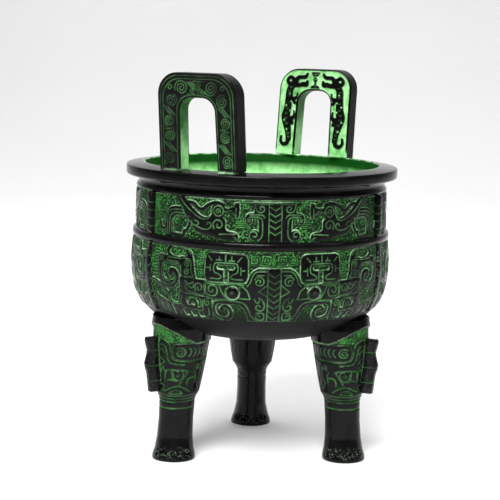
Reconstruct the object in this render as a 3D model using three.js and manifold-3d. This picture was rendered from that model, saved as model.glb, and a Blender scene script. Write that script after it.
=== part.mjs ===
// Round three-legged vessel (ding): a cast tabletop copy with a dark patina.
// Millimetres, +Z up. The origin is on the floor at the centre of the three feet.
// The handles stand close to the X axis and one leg points along -Y.

import * as THREE from "three";
import Module from "manifold-3d";
import { mergeVertices } from "three/addons/utils/BufferGeometryUtils.js";

const wasm = await Module();
wasm.setup();

// Driving dimensions
const rimRadius = 85;
const rimHeight = 181;
const rimRise = 1.6;
const rimWidth = 11.7;
const lipThickness = 6.2;
const lipRound = 1.2;
const neckInset = 7.7;
const neckHeight = 7.8;
const mouldingWidth = 2.4;
const mouldingStep = 0.7;
const upperBandHeight = 25.7;
const ringWidth = 4.1;
const ringStep = 0.9;
const lowerBandHeight = 43.2;
const bellyInset = 4.4;
const bottomDepth = 20;
const wall = 4.5;
const reliefHeight = 0.9;
const reliefRoot = 1.2;
const eyeHeight = 1.7;
const patternTurn = 2.6;

// Leg dimensions
const footCircle = 61.5;
const legCircle = 57.4;
const footRadius = 13.5;
const shaftRadius = 11.1;
const maskRadius = 18.2;
const legRelief = 0.9;
const shaftSideScale = 0.87;
const collarWidth = 6.4;
const collarRise = 12;
const collarHeight = 0.8;

// Flange dimensions
const bandFlangeThickness = 4.6;
const upperFlangeReach = 4.0;
const lowerFlangeReach = 1.9;
const legFlangeThickness = 4.4;
const legFlangeReach = 82.6;

// Handle dimensions
const handleHeight = 58.6;
const handleWidth = 52.8;
const handleTopWidth = 52.2;
const handleThickness = 11.5;
const handleSetback = 6;
const handleFlare = 5.8;
const handleCorner = 13;
const openingWidth = 25.4;
const openingTopWidth = 23.6;
const openingCorner = 8.5;
const topBarHeight = 14.6;
const handleRoot = 5;
const handleRelief = 0.8;
const handleTurn = -1.7;

// Smoothness
const bodySides = 42;
const legSides = 14;
const cornerSteps = 4;

// Levels and radii that follow from the sizes above
const neckTop = rimHeight - lipThickness;
const bandTop = neckTop - neckHeight;
const ringTop = bandTop - upperBandHeight;
const ringBottom = ringTop - ringWidth;
const bandBottom = ringBottom - lowerBandHeight;
const bowlBottom = bandBottom - bottomDepth;
const neckRadius = rimRadius - neckInset;
const bellyRadius = rimRadius - bellyInset;
const mouthRadius = rimRadius - rimWidth;
const patternTurns = 3;
const halfPattern = Math.PI / patternTurns;

// The drawn panels: half a pattern is this wide and the bands this high on the drawing
const drawnHalfWidth = 82.7;
const drawnUpperHeight = 25.7;
const drawnLowerHeight = 43.2;

function signedVolume(positions, index) {
  let total = 0;
  const a = new THREE.Vector3();
  const b = new THREE.Vector3();
  const c = new THREE.Vector3();
  for (let i = 0; i < index.length; i += 3) {
    a.fromArray(positions, 3 * index[i]);
    b.fromArray(positions, 3 * index[i + 1]);
    c.fromArray(positions, 3 * index[i + 2]);
    total += a.dot(b.cross(c)) / 6;
  }
  return total;
}

// A closed three.js geometry as a solid, with its faces turned outwards
function solid(geometry) {
  const bare = geometry.index ? geometry.toNonIndexed() : geometry.clone();
  bare.deleteAttribute("normal");
  bare.deleteAttribute("uv");
  const merged = mergeVertices(bare, 1e-4);
  const positions = merged.attributes.position.array;
  const index = [];
  const source = merged.index.array;
  for (let i = 0; i < source.length; i += 3) {
    const [p, q, r] = [source[i], source[i + 1], source[i + 2]];
    if (p !== q && q !== r && r !== p) index.push(p, q, r);
  }
  if (signedVolume(positions, index) < 0) index.reverse();
  const vertProperties = new Float32Array(positions);
  const triVerts = new Uint32Array(index);
  return new wasm.Manifold(new wasm.Mesh({ numProp: 3, vertProperties, triVerts }));
}

function join(solids) {
  return solids.reduce((whole, piece) => whole.add(piece));
}

// A solid of revolution about Z from [radius, height] points that start and end on the axis
function revolve(profile, sides) {
  const points = profile.map(([radius, height]) => new THREE.Vector2(radius, height));
  return new THREE.LatheGeometry(points, sides).rotateX(Math.PI / 2);
}

// Outer profile of the bowl from the middle of its underside up to the neck
function bowlProfile() {
  const depth = bottomDepth;
  const belly = bellyRadius;
  return [
    [0, bowlBottom],
    [belly * 0.4, bowlBottom + depth * 0.06],
    [belly * 0.6, bowlBottom + depth * 0.23],
    [belly * 0.745, bowlBottom + depth * 0.46],
    [belly * 0.85, bowlBottom + depth * 0.75],
    [belly * 0.915, bandBottom],
    [belly * 0.974, bandBottom + lowerBandHeight * 0.23],
    [belly, bandBottom + lowerBandHeight * 0.6],
    [belly * 0.988, ringBottom],
    [neckRadius * 1.011, ringTop],
    [neckRadius * 1.007, bandTop],
  ];
}

// Radius of the bowl's ground surface at a height
function bowlRadius(height) {
  const profile = bowlProfile();
  for (let i = 1; i < profile.length; i += 1) {
    const [lowRadius, low] = profile[i - 1];
    const [highRadius, high] = profile[i];
    if (height <= high) return lowRadius + ((highRadius - lowRadius) * (height - low)) / (high - low);
  }
  return neckRadius;
}

// Height of the bowl's underside at a radius
function bowlRise(radius) {
  const profile = bowlProfile();
  for (let i = 1; i < profile.length; i += 1) {
    const [near, low] = profile[i - 1];
    const [far, high] = profile[i];
    if (radius <= far) return low + ((high - low) * (radius - near)) / (far - near);
  }
  return bandBottom;
}

// The same profile moved along its normals by a distance
function offsetProfile(profile, distance) {
  return profile.map(([radius, height], i) => {
    const before = profile[Math.max(i - 1, 0)];
    const after = profile[Math.min(i + 1, profile.length - 1)];
    const run = after[0] - before[0];
    const rise = after[1] - before[1];
    const length = Math.hypot(run, rise);
    const moved = radius === 0 ? 0 : radius + (distance * rise) / length;
    const level = radius === 0 ? height - distance : height - (distance * run) / length;
    return [moved, level];
  });
}

// Bowl with plain ring, neck moulding and rim, still solid inside
function bowlBlank() {
  const profile = bowlProfile();
  const lower = profile.slice(0, -2);
  const upper = profile.slice(-2);
  const rim = [
    [neckRadius + mouldingStep, bandTop],
    [neckRadius + mouldingStep, bandTop + mouldingWidth],
    [neckRadius, bandTop + mouldingWidth + mouldingStep],
    [neckRadius, neckTop - neckInset * 0.3],
    [neckRadius + neckInset * 0.3, neckTop],
    [rimRadius - lipRound, neckTop],
    [rimRadius, neckTop + lipRound],
    [rimRadius, rimHeight],
    [mouthRadius, rimHeight + rimRise],
    [0, rimHeight + rimRise],
  ];
  const ring = [
    [bellyRadius * 0.988 + ringStep, ringBottom],
    [bellyRadius * 0.988 + ringStep, ringTop],
  ];
  return solid(revolve([...lower, ...ring, ...upper, ...rim], bodySides));
}

// The room inside, open at the top
function cavity() {
  const coarse = bowlProfile().filter((row, i) => i % 2 === 0 || i === 1 || i === 7);
  const inner = offsetProfile(coarse, -wall);
  const overrun = handleHeight;
  const mouth = [
    [mouthRadius, rimHeight - lipThickness * 0.4],
    [mouthRadius, rimHeight + overrun],
    [0, rimHeight + overrun],
  ];
  return solid(revolve([...inner.slice(0, -1), ...mouth], bodySides));
}

// A shell that lies on the bowl's ground surface between two heights
function shell(low, high, height) {
  const profile = bowlProfile().filter(([, level]) => level > low && level < high);
  const middle = [[bowlRadius(low), low], ...profile, [bowlRadius(high), high]];
  const outside = middle.map(([radius, level]) => [radius + height, level]);
  const inside = middle.map(([radius, level]) => [radius - reliefRoot, level]).reverse();
  const closed = [...outside, ...inside, outside[0]];
  return solid(revolve(closed, bodySides));
}

// Outline of a bar of even width along a line of points
function bar(points, width) {
  const left = [];
  const right = [];
  points.forEach(([x, y], i) => {
    const before = points[Math.max(i - 1, 0)];
    const after = points[Math.min(i + 1, points.length - 1)];
    const inward = new THREE.Vector2(x - before[0], y - before[1]).normalize();
    const outward = new THREE.Vector2(after[0] - x, after[1] - y).normalize();
    const along = inward.clone().add(outward).normalize();
    const plain = inward.lengthSq() > 0 ? inward : outward;
    const reach = width / 2 / Math.max(along.dot(plain), 0.6);
    left.push([x - along.y * reach, y + along.x * reach]);
    right.push([x + along.y * reach, y - along.x * reach]);
  });
  return [...left, ...right.reverse()];
}

function disc(x, y, radius, sides) {
  const ring = [];
  for (let i = 0; i < sides; i += 1) {
    const angle = (2 * Math.PI * i) / sides;
    ring.push([x + radius * Math.cos(angle), y + radius * Math.sin(angle)]);
  }
  return ring;
}

function mirrored(outline) {
  return outline.map(([x, y]) => [-x, y]);
}

// A prism whose outline is wrapped around the Z axis, between two radii
function wrappedPrism(outline, place, innerRadius, outerRadius) {
  const flat = outline.map(([x, y]) => new THREE.Vector2(x, y));
  const faces = THREE.ShapeUtils.triangulateShape(flat, []);
  const count = flat.length;
  const positions = [];
  [innerRadius, outerRadius].forEach((radius) => {
    outline.forEach(([x, y]) => {
      const [angle, height] = place(x, y);
      positions.push(radius * Math.cos(angle), radius * Math.sin(angle), height);
    });
  });
  const index = [];
  faces.forEach(([a, b, c]) => index.push(a, c, b, a + count, b + count, c + count));
  const clockwise = THREE.ShapeUtils.isClockWise(flat);
  for (let i = 0; i < count; i += 1) {
    const next = (i + 1) % count;
    const [first, second] = clockwise ? [next, i] : [i, next];
    index.push(first, second, second + count, first, second + count, first + count);
  }
  const geometry = new THREE.BufferGeometry();
  geometry.setAttribute("position", new THREE.Float32BufferAttribute(positions, 3));
  geometry.setIndex(index);
  return geometry;
}

// Upper band: crest, bracket and bird, drawn from the middle of the pattern to the flange
function upperOutlines() {
  const crest = [[-14.6, 23.8], [-12.3, 17.6], [12.3, 17.6], [14.6, 23.8]];
  const ridge = [[-3.9, 0.8], [3.9, 0.8], [3.9, 20], [-3.9, 20]];
  const bracket = bar([[7.6, 18], [7.6, 3.6], [13.6, 3.6]], 3.2);
  const bird = [
    [21, 22], [21, 14.4], [24.8, 15.4], [31, 12.3], [23, 5.2], [23, 1.6], [31.5, 1.6], [46.5, 5.8],
    [62.5, 21.6], [60, 24.6], [45, 15.6], [37.6, 15.6], [37.6, 22],
  ];
  const tail = bar([[56, 15.9], [68.4, 15.9], [68.4, 3]], 6);
  const half = [bracket, bird, tail];
  return [crest, ridge, ...half, ...half.map(mirrored)];
}

// Lower band: mask with horns, eyes, jaws, ears and spiral bodies
function lowerOutlines() {
  const side = [
    [9.6, 32.8], [15.5, 27.6], [15.5, 38.4], [18, 41], [37.8, 41], [40.3, 38.4], [40.3, 23.4], [47.2, 23.4],
    [49, 37], [52.4, 42], [56, 42], [58, 36.4], [57.8, 16.6], [36, 13.4], [15.4, 13.2], [9.4, 1.4],
  ];
  const mask = [...side, ...mirrored(side).reverse()];
  const jaw = bar([[10.4, 2.6], [18.2, 11.4], [35.4, 11.4], [35.4, 2.6]], 2.6);
  const spiral = bar([[56.5, 34.3], [74.2, 34.3], [74.2, 20.6], [62, 20.6], [62.2, 27]], 3.7);
  const hook = bar([[57, 18], [57, 5.4], [49, 5.4]], 2.8);
  const half = [jaw, spiral, hook];
  return [mask, ...half, ...half.map(mirrored)];
}

// Mushroom-shaped recess in each horn of the mask
function hornRecesses() {
  const recess = [
    [26.2, 23], [26.2, 31.6], [22.6, 31.6], [22.6, 34.4], [33.8, 34.4], [33.8, 31.6], [29.8, 31.6], [29.8, 23],
  ];
  return [recess, mirrored(recess)];
}

function eyeOutlines() {
  const eye = disc(24.2, 18, 4.1, 6);
  return [eye, mirrored(eye)];
}

// Raised figures of one band, repeated around the bowl with their middles nearly midway between the legs
function bandRelief(outlines, recesses, low, high, drawnHeight, height) {
  const carrier = shell(low, high, height);
  const place = (x, y) => [(x / drawnHalfWidth) * halfPattern, low + (y / drawnHeight) * (high - low)];
  const prism = (outline) => solid(wrappedPrism(outline, place, bellyRadius * 0.7, bellyRadius * 1.2));
  const figures = recesses.map(prism).reduce((whole, recess) => whole.subtract(recess), join(outlines.map(prism)));
  const raised = [];
  for (let i = 0; i < patternTurns; i += 1) {
    const middle = Math.PI / 2 + i * 2 * halfPattern;
    const around = figures.rotate([0, 0, THREE.MathUtils.radToDeg(middle) + patternTurn]);
    raised.push(around.intersect(carrier));
  }
  return join(raised);
}

// A plate standing in the plane through the Z axis, from [radius, height] points
function radialPlate(points, thickness) {
  const shape = new THREE.Shape(points.map(([radius, height]) => new THREE.Vector2(radius, height)));
  const geometry = new THREE.ExtrudeGeometry(shape, { depth: thickness, bevelEnabled: false });
  return geometry.translate(0, 0, -thickness / 2).rotateX(Math.PI / 2);
}

// Vertical flanges on the two bands
function bandFlange() {
  const upper = [
    [neckRadius - wall / 2, ringTop - ringWidth / 2],
    [neckRadius + upperFlangeReach + 0.6, ringTop],
    [neckRadius + upperFlangeReach, bandTop + mouldingWidth * 0.4],
    [neckRadius - wall / 2, bandTop + mouldingWidth * 0.4],
  ];
  const heights = [0.04, 0.23, 0.6, 1];
  const edge = heights.map((part) => {
    const level = bandBottom + lowerBandHeight * part;
    return [bowlRadius(level) + lowerFlangeReach, level];
  });
  const root = heights.map((part) => {
    const level = bandBottom + lowerBandHeight * part;
    return [bowlRadius(level) - wall / 2, level];
  });
  const lower = [...edge, ...root.reverse()];
  return [radialPlate(upper, bandFlangeThickness), radialPlate(lower, bandFlangeThickness)];
}

// Leg profile as [radius, part of the height up to the bowl's underside]
function legProfile() {
  const swell = maskRadius - shaftRadius;
  return [
    [footRadius, 0],
    [shaftRadius + 1.1, 0.095],
    [shaftRadius + 0.4, 0.19],
    [shaftRadius, 0.34],
    [shaftRadius + swell * 0.03, 0.5],
    [shaftRadius + swell * 0.3, 0.58],
    [shaftRadius + swell * 0.42, 0.66],
    [shaftRadius + swell * 0.7, 0.82],
    [shaftRadius + swell * 0.95, 1],
    [maskRadius, 1.13],
    [maskRadius * 0.93, 1.3],
  ];
}

function legLathe(grow, from, to) {
  const rows = legProfile().filter(([, part]) => part >= from && part <= to);
  const side = rows.map(([radius, part]) => [radius + grow, part * bowlBottom]);
  return revolve([[0, side[0][1]], ...side, [0, side[side.length - 1][1]]], legSides);
}

// How much narrower a leg is across than it is deep: full at the foot and in the mask, slim between them
function sideScale(part) {
  const below = THREE.MathUtils.clamp(part / 0.19, 0, 1);
  const above = THREE.MathUtils.clamp((part - 0.5) / 0.08, 0, 1);
  return 1 - (1 - shaftSideScale) * below * (1 - above);
}

// Slims a leg's geometry and leans it so that its foot stands further out than its top
function lean(geometry) {
  const positions = geometry.attributes.position;
  for (let i = 0; i < positions.count; i += 1) {
    const part = positions.getZ(i) / bowlBottom;
    positions.setX(i, positions.getX(i) + footCircle + (legCircle - footCircle) * part);
    positions.setY(i, positions.getY(i) * sideScale(part));
  }
  return geometry;
}

// Mask figures on a leg: brow, snout and eye, as degrees around the leg and percent of its height
function legOutlines() {
  const brow = [[17, 105], [88, 96], [88, 84], [56, 93], [17, 93]];
  const snout = [[17, 85], [34, 80], [40, 58], [17, 58]];
  const eye = disc(60, 76, 8, 5);
  const half = [brow, snout, eye];
  return [...half, ...half.map(mirrored)];
}

function legFigures() {
  const place = (x, y) => [THREE.MathUtils.degToRad(x), (y / 100) * bowlBottom];
  const carrier = solid(lean(legLathe(legRelief, 0.5, 1.2)));
  const prisms = legOutlines().map((outline) => solid(lean(wrappedPrism(outline, place, 2, maskRadius * 1.4))));
  return join(prisms).intersect(carrier);
}

// Wavy plate that is the mask's nose and crest, on the outside of a leg
function legFlange() {
  const reach = legFlangeReach;
  const rows = [
    [reach - 0.6, 1.05],
    [reach - 0.4, 0.99],
    [reach - 1.5, 0.93],
    [reach, 0.82],
    [reach - 1.7, 0.75],
    [reach - 2.2, 0.68],
    [reach - 3, 0.59],
  ];
  const edge = rows.map(([radius, part]) => [radius, part * bowlBottom]);
  const root = [
    [legCircle + shaftRadius / 2, rows[6][1] * bowlBottom],
    [legCircle + shaftRadius / 2, rows[0][1] * bowlBottom],
  ];
  return radialPlate([...edge, ...root], legFlangeThickness);
}

// Smooth collar where a leg meets the bowl, its lower edge sloping up and outwards with the bowl
function legCollar() {
  const side = 4 * maskRadius;
  const slope = Math.atan2(collarRise, 2 * maskRadius);
  const above = new THREE.BoxGeometry(side, side, side).translate(0, 0, side / 2).rotateY(-slope);
  above.translate(legCircle, 0, bowlRise(legCircle) - collarWidth);
  return solid(lean(legLathe(collarHeight, 0.8, 2))).intersect(solid(above));
}

function leg() {
  const shaft = solid(lean(legLathe(0, 0, 2)));
  return join([shaft, legFigures(), solid(legFlange()), legCollar()]);
}

// Upright arch of a handle in its own plane, with slightly sloping sides and rounded corners
function archOutline(width, topWidth, low, top, corner) {
  const points = [[width / 2, low]];
  const centre = topWidth / 2 - corner;
  for (let i = 0; i <= cornerSteps; i += 1) {
    const angle = (Math.PI / 2) * (i / cornerSteps);
    points.push([centre + corner * Math.cos(angle), top - corner + corner * Math.sin(angle)]);
  }
  return [...points, ...mirrored(points).reverse()];
}

function upright(outline, from, to) {
  const shape = new THREE.Shape(outline.map(([x, y]) => new THREE.Vector2(x, y)));
  const geometry = new THREE.ExtrudeGeometry(shape, { depth: to - from, bevelEnabled: false });
  return geometry.translate(0, 0, from).rotateX(Math.PI / 2).rotateZ(Math.PI / 2);
}

// Tips a handle's geometry outwards above the rim
function flare(geometry) {
  const positions = geometry.attributes.position;
  for (let i = 0; i < positions.count; i += 1) {
    const part = (positions.getZ(i) - rimHeight) / handleHeight;
    positions.setX(i, positions.getX(i) + handleFlare * part);
  }
  return geometry;
}

// Two facing dragons on the inner face, as bars from the tail up to the jaw
function dragonOutlines() {
  const body = bar([[-21.4, 13.4], [-20.4, 9], [-16.6, 10.4], [-19.4, 26], [-17.4, 48], [-8.6, 50.4]], 3.4);
  const crest = [[-20.6, 51.4], [-18.6, 46.6], [-11.8, 49.4], [-12.6, 54.2]];
  const foreleg = [[-17.6, 40.6], [-17.6, 36.4], [-14, 38.2]];
  const hindleg = [[-18.6, 26.2], [-17.6, 20.4], [-14.2, 23.4]];
  const middle = [[-1.8, 55.6], [-0.8, 50], [-2.4, 46.4], [2.4, 46.4], [0.8, 50], [1.8, 55.6]];
  const left = [body, crest, foreleg, hindleg];
  return [...left, ...left.map(mirrored), middle];
}

function handle() {
  const outer = rimRadius - handleSetback;
  const inner = outer - handleThickness;
  const top = rimHeight + handleHeight;
  const low = rimHeight - handleRoot;
  const openingTop = top - topBarHeight;
  const blank = flare(upright(archOutline(handleWidth, handleTopWidth, low, top, handleCorner), inner, outer));
  const openingOutline = archOutline(openingWidth, openingTopWidth, low - handleRoot, openingTop, openingCorner);
  const opening = flare(upright(openingOutline, inner - wall, outer + wall));
  const figures = dragonOutlines().map((outline) => {
    const raised = outline.map(([x, y]) => [x, rimHeight + y]);
    return solid(flare(upright(raised, inner - handleRelief, inner + handleRelief)));
  });
  return solid(blank).subtract(solid(opening)).add(join(figures));
}

// The whole casting
function vessel() {
  const blank = bowlBlank();
  const upper = bandRelief(upperOutlines(), [], ringTop, bandTop, drawnUpperHeight, reliefHeight);
  const lower = bandRelief(lowerOutlines(), hornRecesses(), bandBottom, ringBottom, drawnLowerHeight, reliefHeight);
  const eyes = bandRelief(eyeOutlines(), [], bandBottom, ringBottom, drawnLowerHeight, eyeHeight);
  const flanges = bandFlange().map((geometry) => solid(geometry));
  const oneSide = join([leg(), ...flanges]);
  const sides = [];
  for (let i = 0; i < patternTurns; i += 1) {
    sides.push(oneSide.rotate([0, 0, 30 + i * 120]));
  }
  const outside = join([blank, upper, lower, eyes, ...sides]);
  const handles = [0, 180].map((angle) => handle().rotate([0, 0, angle + handleTurn]));
  const mouthCut = cavity();
  const floorOfHandles = revolve([[0, bandTop], [mouthRadius, bandTop], [mouthRadius, rimHeight + rimRise],
    [0, rimHeight + rimRise]], bodySides);
  const trimmed = handles.map((piece) => piece.subtract(solid(floorOfHandles)));
  return join([outside.subtract(mouthCut), ...trimmed]);
}

function toGeometry(body) {
  const mesh = body.getMesh();
  const geometry = new THREE.BufferGeometry();
  geometry.setAttribute("position", new THREE.BufferAttribute(mesh.vertProperties, mesh.numProp));
  geometry.setIndex(new THREE.BufferAttribute(mesh.triVerts, 1));
  geometry.computeVertexNormals();
  return geometry;
}

const bronze = new THREE.MeshStandardMaterial({ color: 0x262725, roughness: 0.4, metalness: 0.7 });
const dingVessel = new THREE.Mesh(toGeometry(vessel()), bronze);
dingVessel.name = "ding_vessel";

const group = new THREE.Group();
group.add(dingVessel);

export default group;
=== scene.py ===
import math

import bpy
import numpy as np
from mathutils import Matrix, Vector


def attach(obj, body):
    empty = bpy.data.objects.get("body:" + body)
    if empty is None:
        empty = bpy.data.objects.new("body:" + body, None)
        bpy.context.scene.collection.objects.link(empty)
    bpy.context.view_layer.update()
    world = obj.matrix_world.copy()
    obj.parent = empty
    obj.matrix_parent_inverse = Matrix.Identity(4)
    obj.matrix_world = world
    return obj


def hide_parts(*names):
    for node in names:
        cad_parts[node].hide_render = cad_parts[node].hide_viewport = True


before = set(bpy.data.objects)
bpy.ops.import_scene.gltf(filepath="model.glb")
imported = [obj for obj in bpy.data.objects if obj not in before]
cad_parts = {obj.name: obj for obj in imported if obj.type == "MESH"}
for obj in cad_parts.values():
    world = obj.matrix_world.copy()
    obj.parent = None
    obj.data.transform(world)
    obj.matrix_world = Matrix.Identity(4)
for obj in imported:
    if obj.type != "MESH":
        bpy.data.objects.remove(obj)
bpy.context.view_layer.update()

# Sizes in millimetres, the same as the CAD's

RIM_RADIUS = 85.0
RIM_HEIGHT = 181.0
RIM_RISE = 1.6
MOUTH_RADIUS = 73.3
LIP_BOTTOM = 174.8
BAND_TOP = 167.0
RING_TOP = 141.3
RING_BOTTOM = 137.2
BAND_BOTTOM = 94.0
BOWL_BOTTOM = 74.0
WALL = 4.5
RELIEF = 0.9
DRAWN_HALF = 82.7
UPPER_DRAWN_HEIGHT = 25.7
LOWER_DRAWN_HEIGHT = 43.2
LEG_ANGLES = (30, 150, 270)
MASK_ANGLES = (90, 210, 330)
FOOT_CIRCLE = 61.5
LEG_LEAN = 4.1
HANDLE_HEIGHT = 58.6
HANDLE_WIDTH = 52.8
HANDLE_TOP_WIDTH = 52.2
HANDLE_OUTER = 79.0
HANDLE_INNER = 67.5
HANDLE_FLARE = 5.8
HANDLE_CORNER = 13.0
HANDLE_TURN = -1.7
PATTERN_TURN = 2.6
SHADE_LOW = 174.2
OPENING_WIDTH = 25.4
OPENING_TOP_WIDTH = 23.6
OPENING_CORNER = 8.5
TOP_BAR = 14.6
LEG_DRAWN_SCALE = 0.27

# Outside of the bowl as radius and height, and the radius of a leg at its heights

BOWL_PROFILE = [(0, 74), (32.2, 75.2), (48.4, 78.6), (60, 83.2), (68.5, 89), (73.7, 94), (78.5, 103.9),
                (80.6, 119.9), (79.6, 137.2)]
LEG_PROFILE = [(0, 13.3), (0.8, 13.5), (3, 13.3), (7, 12.3), (14, 11.5), (25, 11.1), (37, 11.4), (39.4, 11.9),
               (41.4, 12.9), (42.9, 13.5), (48.8, 14.5), (60.7, 16.3), (74, 17.85), (83.6, 18.2), (96, 16.9)]
SHAFT_SIDE_SCALE = 0.87


# Drawing tools: every panel is drawn in its own millimetres on a set of points

class Sheet:
    """Points of a surface with what is drawn on them: figures, engraved lines, knobs and ground pattern."""

    def __init__(self, x, y):
        self.x = np.asarray(x, float).ravel()
        self.y = np.asarray(y, float).ravel()
        self.figure = np.full(self.x.shape, -5.0)
        self.cut = np.zeros(self.x.shape)
        self.knob = np.zeros(self.x.shape)
        self.pattern = np.zeros(self.x.shape)

    def near(self, points, reach):
        low = points.min(axis=0) - reach
        high = points.max(axis=0) + reach
        inside = (self.x > low[0]) & (self.x < high[0]) & (self.y > low[1]) & (self.y < high[1])
        return np.nonzero(inside)[0]

    def distance(self, where, points, closed=False):
        """Distance of the chosen points of the sheet from a line of points."""
        px = self.x[where]
        py = self.y[where]
        best = np.full(px.shape, 1e9)
        ends = np.roll(points, -1, axis=0) if closed else points[1:]
        for (ax, ay), (bx, by) in zip(points, ends):
            dx, dy = bx - ax, by - ay
            length = max(dx * dx + dy * dy, 1e-9)
            part = np.clip(((px - ax) * dx + (py - ay) * dy) / length, 0, 1)
            best = np.minimum(best, np.hypot(px - ax - part * dx, py - ay - part * dy))
        return best

    def signed(self, where, points):
        """Distance from an outline, positive inside it."""
        px = self.x[where]
        py = self.y[where]
        inside = np.zeros(px.shape, bool)
        for (ax, ay), (bx, by) in zip(points, np.roll(points, -1, axis=0)):
            crosses = (ay > py) != (by > py)
            at = ax + (py - ay) * (bx - ax) / (by - ay if by != ay else 1e-9)
            inside ^= crosses & (px < at)
        edge = self.distance(where, points, closed=True)
        return np.where(inside, edge, -edge)


REACH = 2.0


def curve(points, steps=5):
    """A smooth line through the points."""
    p = np.asarray(points, float)
    if len(p) < 3:
        return p
    padded = np.vstack([2 * p[0] - p[1], p, 2 * p[-1] - p[-2]])
    out = [p[0]]
    for i in range(1, len(padded) - 2):
        a, b, c, d = padded[i - 1:i + 3]
        for k in range(1, steps + 1):
            t = k / steps
            out.append(0.5 * (2 * b + (c - a) * t + (2 * a - 5 * b + 4 * c - d) * t * t
                              + (3 * b - a - 3 * c + d) * t ** 3))
    return np.array(out)


def spiral(x, y, outer, inner, turns, start, hand=1):
    """A spiral line from the outside in; start in degrees, hand 1 for anticlockwise."""
    steps = int(14 * turns) + 3
    t = np.linspace(0, 1, steps)
    angle = np.radians(start) + hand * 2 * np.pi * turns * t
    radius = outer + (inner - outer) * t
    return np.stack([x + radius * np.cos(angle), y + radius * np.sin(angle)], axis=1)


def fill(sheet, outline):
    points = np.asarray(outline, float)
    where = sheet.near(points, REACH)
    sheet.figure[where] = np.maximum(sheet.figure[where], sheet.signed(where, points))


def hollow(sheet, outline):
    points = np.asarray(outline, float)
    where = sheet.near(points, REACH)
    sheet.figure[where] = np.minimum(sheet.figure[where], -sheet.signed(where, points))


def stroke(sheet, points, width, smooth=True):
    points = curve(points) if smooth else np.asarray(points, float)
    where = sheet.near(points, REACH + width)
    sheet.figure[where] = np.maximum(sheet.figure[where], width / 2 - sheet.distance(where, points))


def disc(sheet, x, y, radius):
    sheet.figure = np.maximum(sheet.figure, radius - np.hypot(sheet.x - x, sheet.y - y))


def ring_gap(sheet, x, y, inner, outer):
    d = np.hypot(sheet.x - x, sheet.y - y)
    gap = np.minimum(d - inner, outer - d)
    sheet.figure = np.minimum(sheet.figure, -gap)


def line(sheet, points, width=0.62, depth=1.0, smooth=True):
    points = curve(points) if smooth else np.asarray(points, float)
    where = sheet.near(points, width)
    profile = np.clip(1 - sheet.distance(where, points) / (width / 2) * 0.75, 0, 1)
    sheet.cut[where] = np.maximum(sheet.cut[where], depth * np.minimum(profile * 1.6, 1))


def dome(sheet, x, y, radius, height):
    d = np.hypot(sheet.x - x, sheet.y - y)
    sheet.knob = np.maximum(sheet.knob, height * np.sqrt(np.clip(1 - (d / radius) ** 2, 0, 1)))


def square_spiral(sheet, x, y, size, pitch=1.25, hand=1):
    """A squared spiral of fine ridges in the ground."""
    dx = hand * (sheet.x - x)
    dy = sheet.y - y
    reach = np.maximum(np.abs(dx), np.abs(dy))
    turn = np.arctan2(dy, dx) / (2 * np.pi)
    phase = (reach / pitch + turn) % 1.0
    ridge = np.clip(1.5 - np.abs(phase - 0.5) * 4.6, 0, 1)
    inside = reach < size / 2
    sheet.pattern = np.where(inside, ridge, sheet.pattern)


def bars_in(sheet, low, high, pitch, width, upright=True):
    """Even fine ridges inside a rectangle."""
    inside = (sheet.x > low[0]) & (sheet.x < high[0]) & (sheet.y > low[1]) & (sheet.y < high[1])
    along = sheet.x if upright else sheet.y
    phase = (along / pitch) % 1.0
    ridge = np.clip(1.3 - np.abs(phase - 0.5) * 2 * pitch / width, 0, 1)
    sheet.pattern = np.where(inside, ridge, sheet.pattern)


def grain_pattern(sheet, cell, seed):
    """Small broken curls that cover the ground where nothing else is drawn."""
    rng = np.random.default_rng(seed)
    cols = np.floor(sheet.x / cell).astype(int)
    rows = np.floor(sheet.y / cell).astype(int)
    low_c, low_r = cols.min(), rows.min()
    spin = rng.uniform(0, 1, (cols.max() - low_c + 1, rows.max() - low_r + 1))
    hand = rng.choice([-1, 1], spin.shape)
    dx = sheet.x / cell - cols - 0.5
    dy = sheet.y / cell - rows - 0.5
    own_spin = spin[cols - low_c, rows - low_r]
    own_hand = hand[cols - low_c, rows - low_r]
    reach = np.hypot(dx, dy) * 1.9
    turn = own_hand * np.arctan2(dy, dx) / (2 * np.pi) + own_spin
    phase = (reach + turn) % 1.0
    ridge = np.clip(1.9 - np.abs(phase - 0.5) * 4.6, 0, 1) * np.clip(2.8 - 1.5 * reach, 0, 1)
    sheet.pattern = np.maximum(sheet.pattern, 0.95 * ridge)


# Upper band: half of one pattern, from its middle to the flange

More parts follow.
